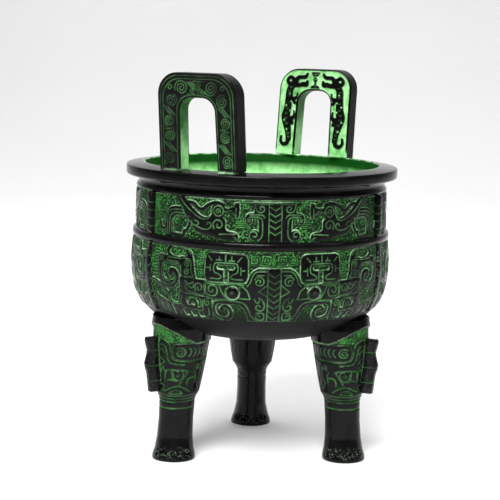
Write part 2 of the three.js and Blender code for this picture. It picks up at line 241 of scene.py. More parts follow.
def draw_upper(sheet):
    grain_pattern(sheet, 3.8, 5)
    square_spiral(sheet, 18, 22, 4.6, 1.2)
    bars_in(sheet, (15.6, 8.4), (22.6, 13), 1.15, 0.6, upright=False)
    plain = sheet.x > 78.6
    sheet.pattern[plain] = 0.4
    fill(sheet, curve([(0, 0.5), (9.4, 0.5), (9.8, 6), (9.9, 13.4), (11.4, 15.2), (13.8, 14.9),
                       (14.4, 12.6), (16.4, 11.8), (17.5, 13.4), (17.2, 16.2), (15.4, 17.9), (13, 18),
                       (12.5, 19.4), (13.4, 21.8), (15.8, 24), (0, 24)], 3))
    disc(sheet, 12, 4.9, 3.1)
    line(sheet, [(3.75, 1.4), (3.75, 23.4)], 0.5)
    for tip in (19.6, 15.9, 12.3, 8.7, 5.1):
        line(sheet, [(0, tip), (3.3, tip + 2.1)], 0.55, 0.8)
    line(sheet, [(15.2, 17), (8, 16.9), (6.4, 15.4)], 0.6)
    line(sheet, [(15.2, 15.5), (11.4, 15.9), (8.6, 15), (7.6, 13), (7.5, 6), (8.4, 3.2), (10, 1.9),
                 (12.6, 1.4), (14.9, 3.2), (14.8, 6), (12.7, 7.2), (10.9, 6), (11.3, 4.2), (12.9, 4.3)],
         0.6)
    line(sheet, [(12.2, 23.6), (11.6, 20.6), (10.4, 18.9), (8.4, 18.4), (6.8, 19.4), (6.8, 21.2), (8.2, 22),
                 (9.4, 21), (8.6, 20)], 0.6)
    line(sheet, [(0.6, 23.2), (11.4, 23.2)], 0.5, 0.6)
    disc(sheet, 15.7, 13.2, 1.9)
    line(sheet, spiral(15.7, 13.3, 1.2, 0.3, 1.1, 40), 0.5, 0.8, smooth=False)
    draw_bird(sheet)
    draw_bird_tail(sheet)


def draw_bird(sheet):
    stroke(sheet, [(31, 19.2), (26.4, 19), (22.8, 20)], 3.4)
    fill(sheet, [(21.4, 23.9), (24.6, 23.2), (24.4, 18), (23, 14.8), (22, 14.6), (21.3, 17)])
    disc(sheet, 34.1, 18.3, 4.7)
    line(sheet, [(30.3, 18), (25.8, 18.8)], 0.65)
    line(sheet, [(30, 20.9), (27.6, 20.4), (25.6, 21.6), (23.4, 23.4)], 0.6)
    line(sheet, [(23.3, 20.4), (23.2, 15.6)], 0.5)
    line(sheet, spiral(34.1, 18.4, 3.2, 3.0, 0.94, 215, -1), 0.75, smooth=False)
    line(sheet, spiral(34.4, 18.1, 1.7, 0.4, 1.2, 200, -1), 0.6, smooth=False)
    stroke(sheet, [(54, 22.4), (50, 21.6), (47, 19.2), (44.2, 18.8), (41.4, 21), (38.4, 22.5), (34.5, 23.2),
                   (31, 22.2)], 2.2)
    stroke(sheet, [(61, 26), (57.6, 21.6), (52.4, 16.6), (47.4, 12.9), (43, 11.3), (39.4, 11.6),
                   (36.4, 14)], 6.0)
    line(sheet, [(60.2, 24), (55, 19.2), (50, 15.7), (46, 13.6), (43, 12.9), (40.2, 13.7), (38.7, 16.2),
                 (37.9, 19.6)], 0.62)
    line(sheet, [(59, 19.4), (57.3, 16), (54.4, 12.2), (51.2, 9.8), (47.6, 8.2), (43.8, 7.1), (40.4, 7.3),
                 (38.6, 8.9), (39, 10.8), (40.6, 11.1), (41.2, 9.8)], 0.62)
    line(sheet, [(49.8, 11.9), (47.8, 11.4), (46.6, 10), (47.9, 9.3)], 0.55)
    dome(sheet, 42.5, 9.9, 0.8, 0.2)
    fill(sheet, curve([(52, 13.6), (50.6, 7.2), (46.6, 4.6), (40, 3.6), (34, 2), (29, 1.4), (24, 1.2),
                       (21.6, 3), (23, 5.9), (28, 6.9), (29.6, 8.6), (29.8, 13), (33, 15), (40, 13)], 3))
    line(sheet, [(36.6, 7.7), (37.3, 10.6), (35.4, 12.9), (32.7, 12.6), (31.5, 10.5), (32.6, 8.6),
                 (34.6, 8.8), (34.7, 10.3)], 0.65)
    line(sheet, [(33.2, 4.6), (28.4, 5), (23.4, 5.3)], 0.7)
    line(sheet, [(25, 3.3), (23.4, 3.2), (23.4, 2.2)], 0.5)


def draw_bird_tail(sheet):
    stroke(sheet, [(56.4, 16), (64, 16), (67.6, 14.8), (69, 11), (69, 3)], 6.3)
    line(sheet, [(57.4, 17.2), (65, 17.1), (69.4, 15.2), (70.5, 11.6), (70.5, 2)], 0.62)
    line(sheet, [(57, 15.4), (64, 15.3), (67.6, 13.4), (68.7, 10), (68.7, 2.4)], 0.62)
    line(sheet, [(56.4, 13.7), (62.6, 13.6), (66, 11.6), (66.9, 8.6), (66.9, 4.6), (65.6, 3.2),
                 (58.4, 2.9)], 0.62)
    stroke(sheet, [(67, 2.6), (62, 2), (58, 2.3), (56.9, 5)], 2.4)
    stroke(sheet, [(77.3, 9.2), (76.8, 6.4), (74.6, 4.9), (72.4, 5.6), (72.6, 7.4)], 1.8)
    stroke(sheet, [(55.6, 5.2), (53.4, 8.8), (52.8, 13)], 2.2)
    line(sheet, [(74.8, 6.2), (73.6, 6.6)], 0.4, 0.6)


# Lower band: half of one mask, from the ridge of its nose to the flange

def draw_lower(sheet):
    grain_pattern(sheet, 3.8, 9)
    # painted shade: the ground is darker towards the bottom of the band, which faces away from the light
    # above; this also raises the ground ridges a little there
    sheet.pattern = np.maximum(sheet.pattern, 0.7 * np.clip(1.1 - sheet.y / 17, 0, 1))
    square_spiral(sheet, 4.3, 37.6, 6.4, 1.35)
    square_spiral(sheet, 11.4, 37.6, 5.8, 1.3, -1)
    bars_in(sheet, (0, 34.4), (0.9, 41), 0.9, 0.5)
    bars_in(sheet, (7.6, 34.4), (8.5, 41), 0.9, 0.5)
    square_spiral(sheet, 44, 39.2, 4.6, 1.25)
    square_spiral(sheet, 44, 33.6, 4.2, 1.2, -1)
    square_spiral(sheet, 44, 28.4, 4.2, 1.2)
    bars_in(sheet, (75.6, 21), (80.2, 42.4), 1.9, 1.1, upright=False)
    draw_face(sheet)
    draw_jaw(sheet)
    draw_eye(sheet)
    draw_horn(sheet)
    draw_ear(sheet)
    draw_mask_body(sheet)
    draw_claws(sheet)


def draw_face(sheet):
    fill(sheet, [(-6, 0.8), (15, 0.8), (15.7, 4.5), (17.4, 8.3), (20.4, 11), (24, 13), (24, 23), (16.3, 23.6),
                 (15.2, 25.8), (14.1, 28.6), (12.2, 31.4), (9.2, 33), (-6, 33)])
    line(sheet, [(4.4, 31.4), (9, 31.3), (11.3, 30.2), (12.8, 27.6), (13.9, 24.4), (15.6, 22.4)], 0.6)
    line(sheet, [(3.75, 1.4), (3.75, 32.4)])
    for tip in (27.6, 23.8, 20.1, 16.4, 12.7, 9, 5.4, 2.2):
        line(sheet, [(0, tip), (3.3, tip + 2.3)], 0.5, 0.7)
    line(sheet, [(5.8, 29), (10, 29)], 0.6)
    line(sheet, [(11.2, 26.4), (10, 27.9), (7.4, 27.7), (6, 25.6), (6.9, 23.4), (9.6, 23.1), (10.6, 24.8),
                 (9.4, 26.2), (8, 25.7), (8.3, 24.7)], 0.6)
    line(sheet, [(4.2, 23), (8.9, 19.2), (4.2, 16.4)], 0.6, smooth=False)
    line(sheet, [(8.6, 15.4), (6.6, 14), (5.5, 11.4), (6, 8.6), (8, 7.7), (10, 8.6), (10.2, 10.4),
                 (8.8, 11.2), (7.9, 10.2)], 0.6)
    line(sheet, [(11.3, 15), (10.5, 13), (8.9, 12.4), (8.6, 13.8)], 0.55)
    line(sheet, [(10.6, 6.2), (6.1, 6.2), (5.9, 2.3), (9, 2), (10.6, 3.4), (10, 5), (8.5, 4.9), (8.2, 3.9)],
         0.6)


def draw_jaw(sheet):
    stroke(sheet, [(19.6, 12.2), (26, 12.2), (33.2, 12.2), (35.8, 10.2), (36.2, 6), (34.8, 3), (30.8, 1.4),
                   (27.2, 2.2), (25.6, 5), (26.4, 8.2), (29, 9.3), (31.2, 7.6)], 2.5)
    line(sheet, [(6, 1.6), (10.6, 1.8), (13.4, 4.6), (15, 8.6), (17.4, 11.8), (22, 12.9), (33.6, 12.9),
                 (36.3, 10.6), (36.8, 6), (35.2, 2.8), (31, 1.2)], 0.6)
    line(sheet, [(27.3, 4.6), (26.6, 6.4), (28, 8.6), (29.8, 8.5)], 0.5)


def draw_eye(sheet):
    fill(sheet, [(14, 14), (36, 13.8), (41, 15), (58, 15.6), (58.2, 25), (14, 24)])
    ring_gap(sheet, 24.2, 18.1, 3.6, 4.6)
    hollow(sheet, [(18.4, 21.8), (20.6, 22.3), (20.2, 20.2)])
    hollow(sheet, [(28.2, 15.2), (28.8, 16.6), (27, 15)])
    dome(sheet, 24.2, 18.1, 3.6, 0.85)
    line(sheet, spiral(24.2, 18.1, 0.7, 0.7, 1, 0), 0.5, 0.5, smooth=False)
    line(sheet, [(18.6, 22.2), (15.6, 19.6), (14.4, 16.4), (14.2, 14.6), (20.4, 14.9), (22.4, 14.4)], 0.62)
    line(sheet, [(32, 21.8), (30.4, 18.2), (28.4, 15), (26.6, 14.2)], 0.62)
    line(sheet, [(17.4, 22.8), (24, 23.3), (32, 22.6), (41, 22.9)], 0.55)
    line(sheet, [(40.3, 21.6), (40.6, 17.6), (38.5, 15.8), (34.6, 15.9), (33.1, 18.5), (34, 21.3), (36.6, 22),
                 (38.5, 20.5), (38.2, 18.3), (36.5, 17.8), (35.8, 19.3)], 0.62)
    line(sheet, [(47, 17.4), (47.2, 20.8), (45.2, 22.4), (43, 21.2), (43.3, 18.8), (45.3, 18.2),
                 (45.6, 20)], 0.65)
    line(sheet, [(54, 23), (51.4, 21.2), (48.3, 22.8)], 0.6)
    line(sheet, [(54, 21.2), (51, 19.4), (48.6, 19.4), (48, 21.6)], 0.6)
    line(sheet, [(54.4, 19.4), (52, 17), (47.5, 15.9), (41.6, 15.8), (41.4, 21.8)], 0.6)


def draw_horn(sheet):
    fill(sheet, [(17.6, 24.2), (16, 25.4), (15.2, 28), (15.3, 37.8), (16.4, 40.2), (18.6, 41.1), (37.8, 41.1),
                 (39.9, 40.1), (40.7, 37.8), (40.9, 27.6), (40.2, 25), (38.4, 24.2)])
    line(sheet, [(16.2, 24.5), (18.4, 23.9), (38.4, 23.9), (41, 24.6)], 0.6)
    hollow(sheet, [(26.3, 23.6), (26.3, 31.4), (23.4, 31.5), (22.6, 32.8), (23.4, 34.3), (33, 34.3),
                   (33.9, 32.8), (33, 31.5), (29.5, 31.4), (29.5, 23.6)])
    line(sheet, [(18.4, 26), (24, 26.2), (25, 27.6), (23.4, 29), (21.6, 29.8), (21, 31.8), (21.3, 34),
                 (23, 35.3), (33.4, 35.3), (35.1, 34), (35.5, 31.6), (34.6, 29.6), (32.6, 28.9), (31, 27.5),
                 (32, 26.1), (37.4, 26)], 0.62)
    for ticks in ([(24.8, 36.9), (24.8, 39.3)], [(23.2, 36.8), (26.6, 36.8)], [(28.4, 36.4), (28.4, 40)],
                  [(32.2, 37.1), (32.2, 38.8)], [(30.6, 37), (34, 37)], [(19, 39), (21.2, 36.4)],
                  [(38.8, 39), (36.6, 36.4)], [(19.3, 28.6), (19.3, 33)], [(17, 31.4), (19.3, 31.4)],
                  [(37.5, 30.4), (37.5, 34)], [(37.5, 32.2), (39.7, 32.2)]):
        line(sheet, ticks, 0.55, smooth=False)


def draw_ear(sheet):
    fill(sheet, curve([(46.5, 24.6), (47.4, 28), (48.2, 32.4), (48.9, 36.6), (50.2, 40), (52.6, 42),
                       (56, 42.4), (54.2, 40.2), (53.4, 37.2), (58, 36.9), (57.4, 30), (57, 24.6)], 3))
    line(sheet, [(56, 36), (51.6, 35.9), (50.2, 34), (49.7, 28.4), (48.6, 25.9), (54.6, 25.2)], 0.6)
    line(sheet, spiral(52.9, 33, 2.3, 0.4, 1.6, 150, -1), 0.6, smooth=False)
    line(sheet, spiral(52.9, 28.2, 2.1, 0.4, 1.5, 150, -1), 0.6, smooth=False)
    line(sheet, [(55.8, 42.2), (52.4, 41.4), (50.6, 39)], 0.55)
    stroke(sheet, [(64.6, 36.2), (67.2, 38), (67.6, 40.6), (65, 42.6)], 2.4)
    stroke(sheet, [(65, 42.7), (60, 43), (55, 42.6)], 1.0)


def draw_mask_body(sheet):
    stroke(sheet, [(57, 34.2), (70.4, 34.2), (73, 32.6), (73.4, 26), (72.2, 21.8), (68.6, 19.7),
                   (64.2, 19.9)], 4.9)
    stroke(sheet, [(65, 19.9), (61.4, 21.8), (60.4, 25), (61.6, 27.6), (64.4, 28), (65.4, 26)], 3.4)
    line(sheet, [(67.6, 35.7), (57.4, 35.6)], 0.6)
    line(sheet, [(68, 34.4), (66.4, 33.6), (60, 33.5), (59.2, 32.5), (60.6, 32.5), (69.6, 32.6), (71.8, 30.6),
                 (72.2, 25), (70.6, 21.7), (65.6, 21.2)], 0.6)
    line(sheet, [(66, 25.2), (65.6, 23.9), (69.4, 23.6)], 0.5)
    line(sheet, [(62.3, 26.4), (61.2, 24), (62.6, 21), (67.5, 19.2), (72.6, 20.2)], 0.6)
    line(sheet, [(74.8, 31), (74.6, 24)], 0.5)
    disc(sheet, 73.2, 34.4, 2.9)
    line(sheet, spiral(73, 34.6, 2.2, 0.4, 1.5, 300, 1), 0.6, smooth=False)
    stroke(sheet, [(81, 20.6), (75.6, 19), (71, 16.6), (68, 12.8), (66.9, 9)], 2.6)
    line(sheet, [(80.6, 20.4), (75.4, 18.8), (70.8, 16.2), (67.9, 12.6), (66.8, 9)], 0.6)
    stroke(sheet, [(66.9, 9), (64, 7.8), (59, 7.8)], 2.4)
    line(sheet, [(65.8, 8.2), (59.6, 8.2)], 0.6)
    disc(sheet, 58.4, 16.3, 2.2)
    line(sheet, spiral(58.6, 16.3, 1.3, 0.4, 1.1, 90, 1), 0.5, 0.8, smooth=False)


def draw_claws(sheet):
    fill(sheet, [(37, 14), (58.4, 15.6), (60.4, 9.2), (66, 6.6), (63.6, 0.8), (37.6, 0.8)])
    hollow(sheet, curve([(44.2, 7.8), (43.9, 12), (46, 13.5), (51, 13.6), (53.8, 12.7), (54.2, 10.2),
                         (52.6, 8.2), (50.4, 8.8), (47, 7.4)], 3))
    stroke(sheet, [(52, 9.6), (50.6, 11.6), (48.2, 11.4), (47.2, 9.4), (48.4, 6.8)], 2.0)
    for x in (56, 50.4, 45):
        hollow(sheet, [(x + 2.6, 4.8), (x - 0.4, 5), (x - 2.4, 1.6), (x + 1.2, 1.2)])
    line(sheet, spiral(39.9, 11.2, 2.4, 0.4, 1.5, 120, -1), 0.6, smooth=False)
    line(sheet, [(42.7, 12.6), (43, 8), (44.4, 5.8), (55.2, 6.3), (59.4, 4.2), (61.4, 1.6)], 0.6)
    line(sheet, [(39.4, 7.8), (39.6, 4), (42, 1.4)], 0.6)
    line(sheet, [(57, 13.6), (58.6, 9.4), (56.6, 6.4)], 0.55)
    fill(sheet, [(67, 8), (78, 12), (79.6, 17), (79.6, 8), (74, 1.4), (66, 1)])
    for x in (69.5, 73.4, 77):
        line(sheet, [(x - 1.4, 2), (x, 6), (x + 0.8, 10.4)], 0.6, 0.8)
    hollow(sheet, [(70.4, 4.4), (72.2, 8.4), (71.4, 3.6)])
    hollow(sheet, [(74.8, 6.4), (75.6, 10.6), (76, 5.8)])


# Heights in millimetres above the ground from what is drawn

def relief(sheet, height, line_depth=0.38, pattern_height=0.32, bevel=0.55, crown=0.0):
    level = np.clip(sheet.figure / bevel + 0.5, 0, 1)
    level = level * level * (3 - 2 * level)
    ground = pattern_height * sheet.pattern * (1 - level)
    cut = line_depth * sheet.cut * level
    rounding = crown * (1 - np.clip(sheet.figure / 2.2, 0, 1)) ** 2
    return (height - rounding) * level + ground - cut + sheet.knob * level, level


def groove(sheet, points, width, smooth=True):
    """A line that is cut right down to the painted ground."""
    points = curve(points) if smooth else np.asarray(points, float)
    where = sheet.near(points, REACH + width)
    sheet.figure[where] = np.minimum(sheet.figure[where], sheet.distance(where, points) - width / 2)


# Legs: half of one mask, from the flange round to the back

COLLAR_BACK = 74.6
COLLAR_RISE = 10.5


def collar_edge(sheet):
    turn = np.radians(sheet.x / LEG_DRAWN_SCALE)
    return COLLAR_BACK + COLLAR_RISE * np.clip(np.cos(turn), 0, 1) ** 1.2


def draw_leg(sheet):
    sheet.figure[:] = 3
    fill_ground(sheet)
    fill(sheet, curve([(1, 77.4), (5, 77), (8.6, 75.2), (10.2, 71.6), (10.8, 67), (12.6, 64.4), (20, 63.4),
                       (30, 63.4), (48.6, 63.4), (48.6, 50), (1, 50)], 3))
    fill(sheet, curve([(11.7, 71), (12.9, 74), (16, 74.6), (24, 74.6), (31, 74.4), (36.4, 73), (38.4, 69),
                       (34, 65.2), (29, 64.5), (20, 64.5), (14, 65), (12, 67)], 3))
    groove(sheet, [(2.6, 73.2), (5.2, 73.6), (7.4, 72), (8.4, 68), (9.2, 64.4), (11.4, 62.2), (19, 61.6)],
           0.7)
    groove(sheet, [(2.6, 70.6), (4.6, 70.6), (7, 68.6)], 0.6)
    groove(sheet, [(2.9, 77), (2.8, 62), (2.8, 50.6)], 1.2)
    groove(sheet, [(2.4, 67.4), (6.9, 63), (2.4, 59.4)], 0.65, smooth=False)
    groove(sheet, [(6.2, 60.2), (4.2, 57.6), (3.2, 54), (3.9, 51.2)], 0.6)
    groove(sheet, [(5.6, 59.4), (6.4, 57.4)], 0.6)
    line(sheet, spiral(16.2, 69.1, 3.3, 0.5, 1.7, 130, -1), 0.7, smooth=False)
    for x in (21.6, 24.4, 27.2, 30, 32.6):
        line(sheet, [(x - 0.6, 72), (x + 0.5, 70.6), (x + 0.4, 68.4), (x - 0.7, 67)], 0.55, 0.9)
    draw_leg_face(sheet)
    draw_leg_rings(sheet)
    plain_back(sheet)
    collar = sheet.y - collar_edge(sheet)
    sheet.figure = np.where(collar > -0.6, np.maximum(sheet.figure, collar), sheet.figure)


def fill_ground(sheet):
    """The painted strip under the collar."""
    strip = np.minimum(sheet.y - 61.5, 95 - sheet.y)
    sheet.figure = np.minimum(sheet.figure, -strip)
    bars = np.clip(1.3 - 2.4 * np.abs(((sheet.y + 0.35 * np.sin(sheet.x * 1.3)) / 1.1) % 1 - 0.5) * 2, 0, 1)
    sheet.pattern = np.where(strip > 0, bars * 0.8, sheet.pattern)


def draw_leg_face(sheet):
    groove(sheet, [(6.9, 51.6), (7.3, 56.2), (9.6, 58.1), (19.6, 57.9), (20.6, 56.8)], 0.7)
    groove(sheet, [(11.4, 57.6), (12.1, 53.4), (12, 51.8)], 0.6)
    groove(sheet, spiral(15.6, 54.9, 3.3, 3.3, 0.72, 160, 1), 0.7, smooth=False)
    groove(sheet, [(8.4, 51.2), (10.6, 51.9), (13, 51.4), (15.4, 51.2)], 0.55)
    dome(sheet, 15.6, 54.9, 2.7, 0.75)
    groove(sheet, spiral(15.6, 54.9, 0.8, 0.8, 1, 0), 0.45, smooth=False)
    groove(sheet, [(21.8, 57.4), (19.4, 53.6), (16.8, 49.4)], 0.6)
    groove(sheet, [(26, 53.2), (23, 52.9), (21.6, 50.6), (21.8, 48.4)], 0.7)
    groove(sheet, spiral(27.9, 60, 1.7, 0.4, 1.2, 250, 1), 0.55, smooth=False)
    groove(sheet, [(4.9, 45.6), (6, 47), (5.2, 48.6), (3.2, 48.7), (2.3, 47)], 0.6)
    groove(sheet, [(2.4, 45.2), (6.2, 44.5), (11.8, 46.8), (16.5, 47.8), (20.6, 46.3), (24.4, 44.2)], 0.65)
    hollow(sheet, curve([(9.2, 42.5), (11, 44.2), (14.2, 45.5), (17.4, 44.8), (19.4, 42.9), (17, 42.6),
                         (12, 42.4)], 3))
    groove(sheet, [(26, 57), (27.4, 54), (27, 50)], 0.5)
    groove(sheet, [(31, 60), (32, 55), (30, 50), (33, 46)], 0.5)
    groove(sheet, [(36, 62), (38, 57), (36, 52), (38, 47)], 0.5)


def draw_leg_rings(sheet):
    around = np.array([(0.0, 0.0), (50.0, 0.0)])
    for height, width in ((41.2, 0.7), (39, 0.5), (37, 0.5), (33.0, 0.7)):
        groove(sheet, around + [0, height], width, smooth=False)


def plain_back(sheet):
    """The side of a leg that is turned to the others is left smooth."""
    back = np.clip((sheet.x - 35) / 3, 0, 1)
    sheet.figure = np.maximum(sheet.figure, 6 * back - 3)


def leg_relief(sheet):
    lift, level = relief(sheet, 0.75, 0.3, 0.25)
    collar = np.clip((sheet.y - collar_edge(sheet)) / 0.6 + 0.5, 0, 1)
    lift = lift + 0.7 * collar
    carved = np.clip((sheet.y - 31) / 2, 0, 1)
    plain = collar
    lift = lift - 0.75
    return lift * carved, np.maximum(level, np.maximum(1 - carved, plain))


# Handles: rolled scrolls on the outside, two facing dragons on the inside

def inset_line(faces, part):
    """The line that runs along the arch at a part of the way from the opening to the outer edge."""
    col = int(round(part * (faces.shape[1] - 1)))
    points = faces[:, col]
    return points[points[:, 1] > 1.2]


def draw_handle_outside(sheet, faces):
    sheet.figure[:] = 3
    sheet.cut[:] = 0.015
    for part, width in ((0.88, 0.45), (0.76, 0.45), (0.1, 0.5)):
        line(sheet, inset_line(faces, part)[::4], width, 0.9, smooth=False)
    for side in (-1, 1):
        line(sheet, [(side * 14.6, 1.4), (side * 23.2, 1.4)], 0.5, 0.8, smooth=False)
        for y, z, size, start in ((9.9, 49.8, 4.5, 200), (17, 42.4, 3.9, 60), (18.6, 29.8, 3.5, 240),
                                  (18.8, 21.4, 3.5, 60), (19.4, 7.4, 3.9, 240)):
            line(sheet, spiral(side * y, z, size, 0.5, 2.4, start, side), 0.48, smooth=False)
        for z in (36.2, 14.6):
            for shift in (-1.5, 0, 1.5):
                line(sheet, [(side * 18.4 - 2.6 + shift, z + 2.6), (side * 18.4 + 2.4 + shift, z - 2.8)],
                     0.5, 0.9, smooth=False)
        line(sheet, spiral(side * 17.6, 50, 1.3, 1.1, 1, 0), 0.5, smooth=False)
        line(sheet, [(side * 15.6, 25.8), (side * 21.4, 25.2)], 0.5, 0.8)
        line(sheet, spiral(side * 2.4, 49.8 + side * 2.1, 1.7, 0.3, 1.4, 90, 1), 0.5, smooth=False)
    for shift in (-2.2, -0.7, 0.8, 2.3):
        line(sheet, [(-4.8 + shift, 53.2), (0.3 + shift, 49.6), (4.6 + shift, 46.4)], 0.5, 0.9)
    line(sheet, [(-5.6, 46.2), (1.2, 46)], 0.5, smooth=False)
    line(sheet, [(-1.4, 53.8), (5.4, 53.6)], 0.5, smooth=False)


# One dragon as strokes of side, height and width

DRAGON_BODY = [(15.6, 48.6, 4.2), (18.3, 44.4, 4.3), (18.7, 38.8, 4.6), (19.3, 31.5, 4.8), (20.2, 26, 5.8),
               (18.9, 20.2, 4.8), (17.6, 14.6, 3.6), (17.2, 10.6, 3.4)]
DRAGON_TAIL = [(17.2, 10.4, 3.4), (18.2, 7.8, 3.4), (20.8, 7, 3.0), (22.8, 9, 2.6), (22.6, 12.2, 2.2)]
DRAGON_CREST = [(16.2, 49.4, 2.6), (19.2, 48.6, 2.4), (20.2, 50.8, 2.4), (18.4, 52.8, 2.4), (16.2, 51.8, 2.2)]
DRAGON_SNOUT = [(14.8, 49.4, 4), (12.6, 52.6, 2.4), (9.6, 53, 2.2), (7.4, 53.2, 2.2), (6, 55.2, 1.6)]
DRAGON_JAW = [(15, 47.8, 3.4), (12, 47.6, 2.8), (9, 48.2, 3), (6.6, 48.2, 3), (5.9, 50, 1.6)]
DRAGON_LEGS = [[(18, 38.6, 3), (15.2, 38, 3.4), (13.2, 39.4, 1.9), (12.5, 42, 1.5)],
               [(15.4, 38, 2.6), (14.2, 35.4, 2.6)],
               [(19, 25, 3.4), (15.6, 24.8, 3.4), (14.2, 27, 1.9), (14.4, 29.8, 1.5)],
               [(16, 24, 2.8), (15.2, 21.4, 2.6)]]


def brush(sheet, rows, wider=0.0):
    """A stroke whose width changes along its rows of side, height and width."""
    rows = curve(rows)
    for a, b in zip(rows, rows[1:]):
        stroke(sheet, [a[:2], b[:2]], (a[2] + b[2]) / 2 + wider, smooth=False)


def draw_handle_inside(sheet, faces):
    for part, width in ((1.0, 2.0), (0.0, 2.6)):
        stroke(sheet, inset_line(faces, part)[::4], width, smooth=False)
    brush(sheet, DRAGON_BODY, 1.0)
    for rows in [DRAGON_CREST, DRAGON_SNOUT, DRAGON_JAW]:
        brush(sheet, rows, 0.7)
    for rows in [DRAGON_TAIL] + DRAGON_LEGS:
        brush(sheet, rows)
    along = curve(DRAGON_BODY)[3::3]
    for y, z, width in along:
        line(sheet, [(y - 0.9, z + 0.3), (y, z - 0.5), (y + 0.9, z + 0.3)], 0.55, 0.5, smooth=False)
        sheet.knob = np.maximum(sheet.knob, 0.35 * np.clip(1 - np.hypot(sheet.x - y,
                                                                        sheet.y - z - 1.1) / 1.9, 0, 1))
    for y, z in ((20.4, 33.6), (17.2, 30), (21.2, 23.4), (18.2, 41.6), (16.8, 36.2), (19, 17.2)):
        ring_gap(sheet, y, z, -1, 0.5)
    ring_gap(sheet, 11, 50.4, -1, 1.0)
    ring_gap(sheet, 18.3, 50.6, -1, 0.6)
    fill(sheet, [(0, 57), (3.6, 56.6), (1.9, 53.6), (0, 53.6)])
    fill(sheet, [(0, 53.8), (0.7, 53.4), (2, 51.6), (0.8, 49.6), (1, 47.8), (3, 47.4), (3.6, 45.4),
                 (0, 45.4)])
    line(sheet, [(0, 54.8), (1.6, 55.4)], 0.5)
    line(sheet, [(0, 51.8), (0.9, 51.6)], 0.5)


# Meshes

def radius_at(rows, height):
    rows = np.asarray(rows, float)
    return np.interp(height, rows[:, 1], rows[:, 0])


def fill_mesh(mesh, points, loops, sizes, layers, smooth):
    """Points in metres; layers are named values of each point for the material."""
    mesh.vertices.add(len(points))
    mesh.vertices.foreach_set("co", points.ravel())
    mesh.loops.add(len(loops))
    mesh.loops.foreach_set("vertex_index", loops)
    starts = np.concatenate([[0], np.cumsum(sizes)[:-1]]).astype(np.int32)
    mesh.polygons.add(len(sizes))
    mesh.polygons.foreach_set("loop_start", starts)
    mesh.polygons.foreach_set("loop_total", sizes)
    mesh.update(calc_edges=True)
    mesh.polygons.foreach_set("use_smooth", np.full(len(sizes), smooth))
    for layer, values in layers.items():
        data = mesh.attributes.new(layer, "FLOAT", "POINT")
        data.data.foreach_set("value", np.asarray(values, np.float32))
    mesh.validate()


def finish_piece(name, mesh):
    piece = bpy.data.objects.new(name, mesh)
    bpy.context.scene.collection.objects.link(piece)
    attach(piece, "root")
    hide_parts("ding_vessel")
    return piece


def grid_quads(rows, cols, offset=0, close_rows=False, close_cols=False, flip=False):
    """Quads of a grid of points that is numbered row by row."""
    r = np.arange(rows if close_rows else rows - 1)
    c = np.arange(cols if close_cols else cols - 1)
    rr, cc = np.meshgrid(r, c, indexing="ij")
    nr = (rr + 1) % rows
    nc = (cc + 1) % cols
    quads = np.stack([rr * cols + cc, rr * cols + nc, nr * cols + nc, nr * cols + cc], axis=-1).reshape(-1, 4)
    if flip:
        quads = quads[:, ::-1]
    return quads + offset


def quad_mesh(name, points, quads, others, layers, smooth=True):
    """A mesh of many quads and a few other faces."""
    mesh = bpy.data.meshes.new(name)
    loops = [quads.ravel()] + [np.asarray(f) for f in others]
    sizes = [np.full(len(quads), 4)] + [np.array([len(f)]) for f in others]
    fill_mesh(mesh, np.asarray(points, np.float32) / 1000, np.concatenate(loops).astype(np.int32),
              np.concatenate(sizes).astype(np.int32), layers, smooth)
    return finish_piece(name, mesh)


def layer_values(sheet, level, extra=0, outline=1.0):
    """What the material needs to know at each point, followed by zeros for the extra plain points."""
    pad = np.zeros(extra)
    # edge: pale outline at the foot of each figure, partly green paint left there and partly a painted
    # highlight on the bevel
    edge = outline * np.clip(1.1 - np.abs(sheet.figure + 0.3) / 0.32, 0, 1)
    hem = 0.75 * np.clip(1.2 - np.abs(sheet.figure + 0.85) / 0.35, 0, 1)
    return {
        "paint": np.concatenate([1 - level, pad]),
        "line": np.concatenate([sheet.cut * level, pad]),
        "pattern": np.concatenate([np.maximum(sheet.pattern, hem) * (1 - level), pad]),
        "edge": np.concatenate([edge, pad]),
        "foot": np.zeros(len(level) + extra),
    }


def upward_highlight(sheet, rows, cols, spacing):
    """How much an outline faces up: a painted highlight, brighter on the edges that face the light from
    above.
    """
    rise = np.gradient(sheet.figure.reshape(rows, cols), axis=0) / spacing
    return np.clip(0.5 - 0.6 * rise, 0.12, 1).ravel()


# The decorated bands: a third of the bowl each, thick enough to close

BACK_ROWS = 4
BAND_COLS = 460
LOWER_ROWS = 120
UPPER_ROWS = 72
BAND_THICKNESS = 1.7
BAND_CROWN = 0.28


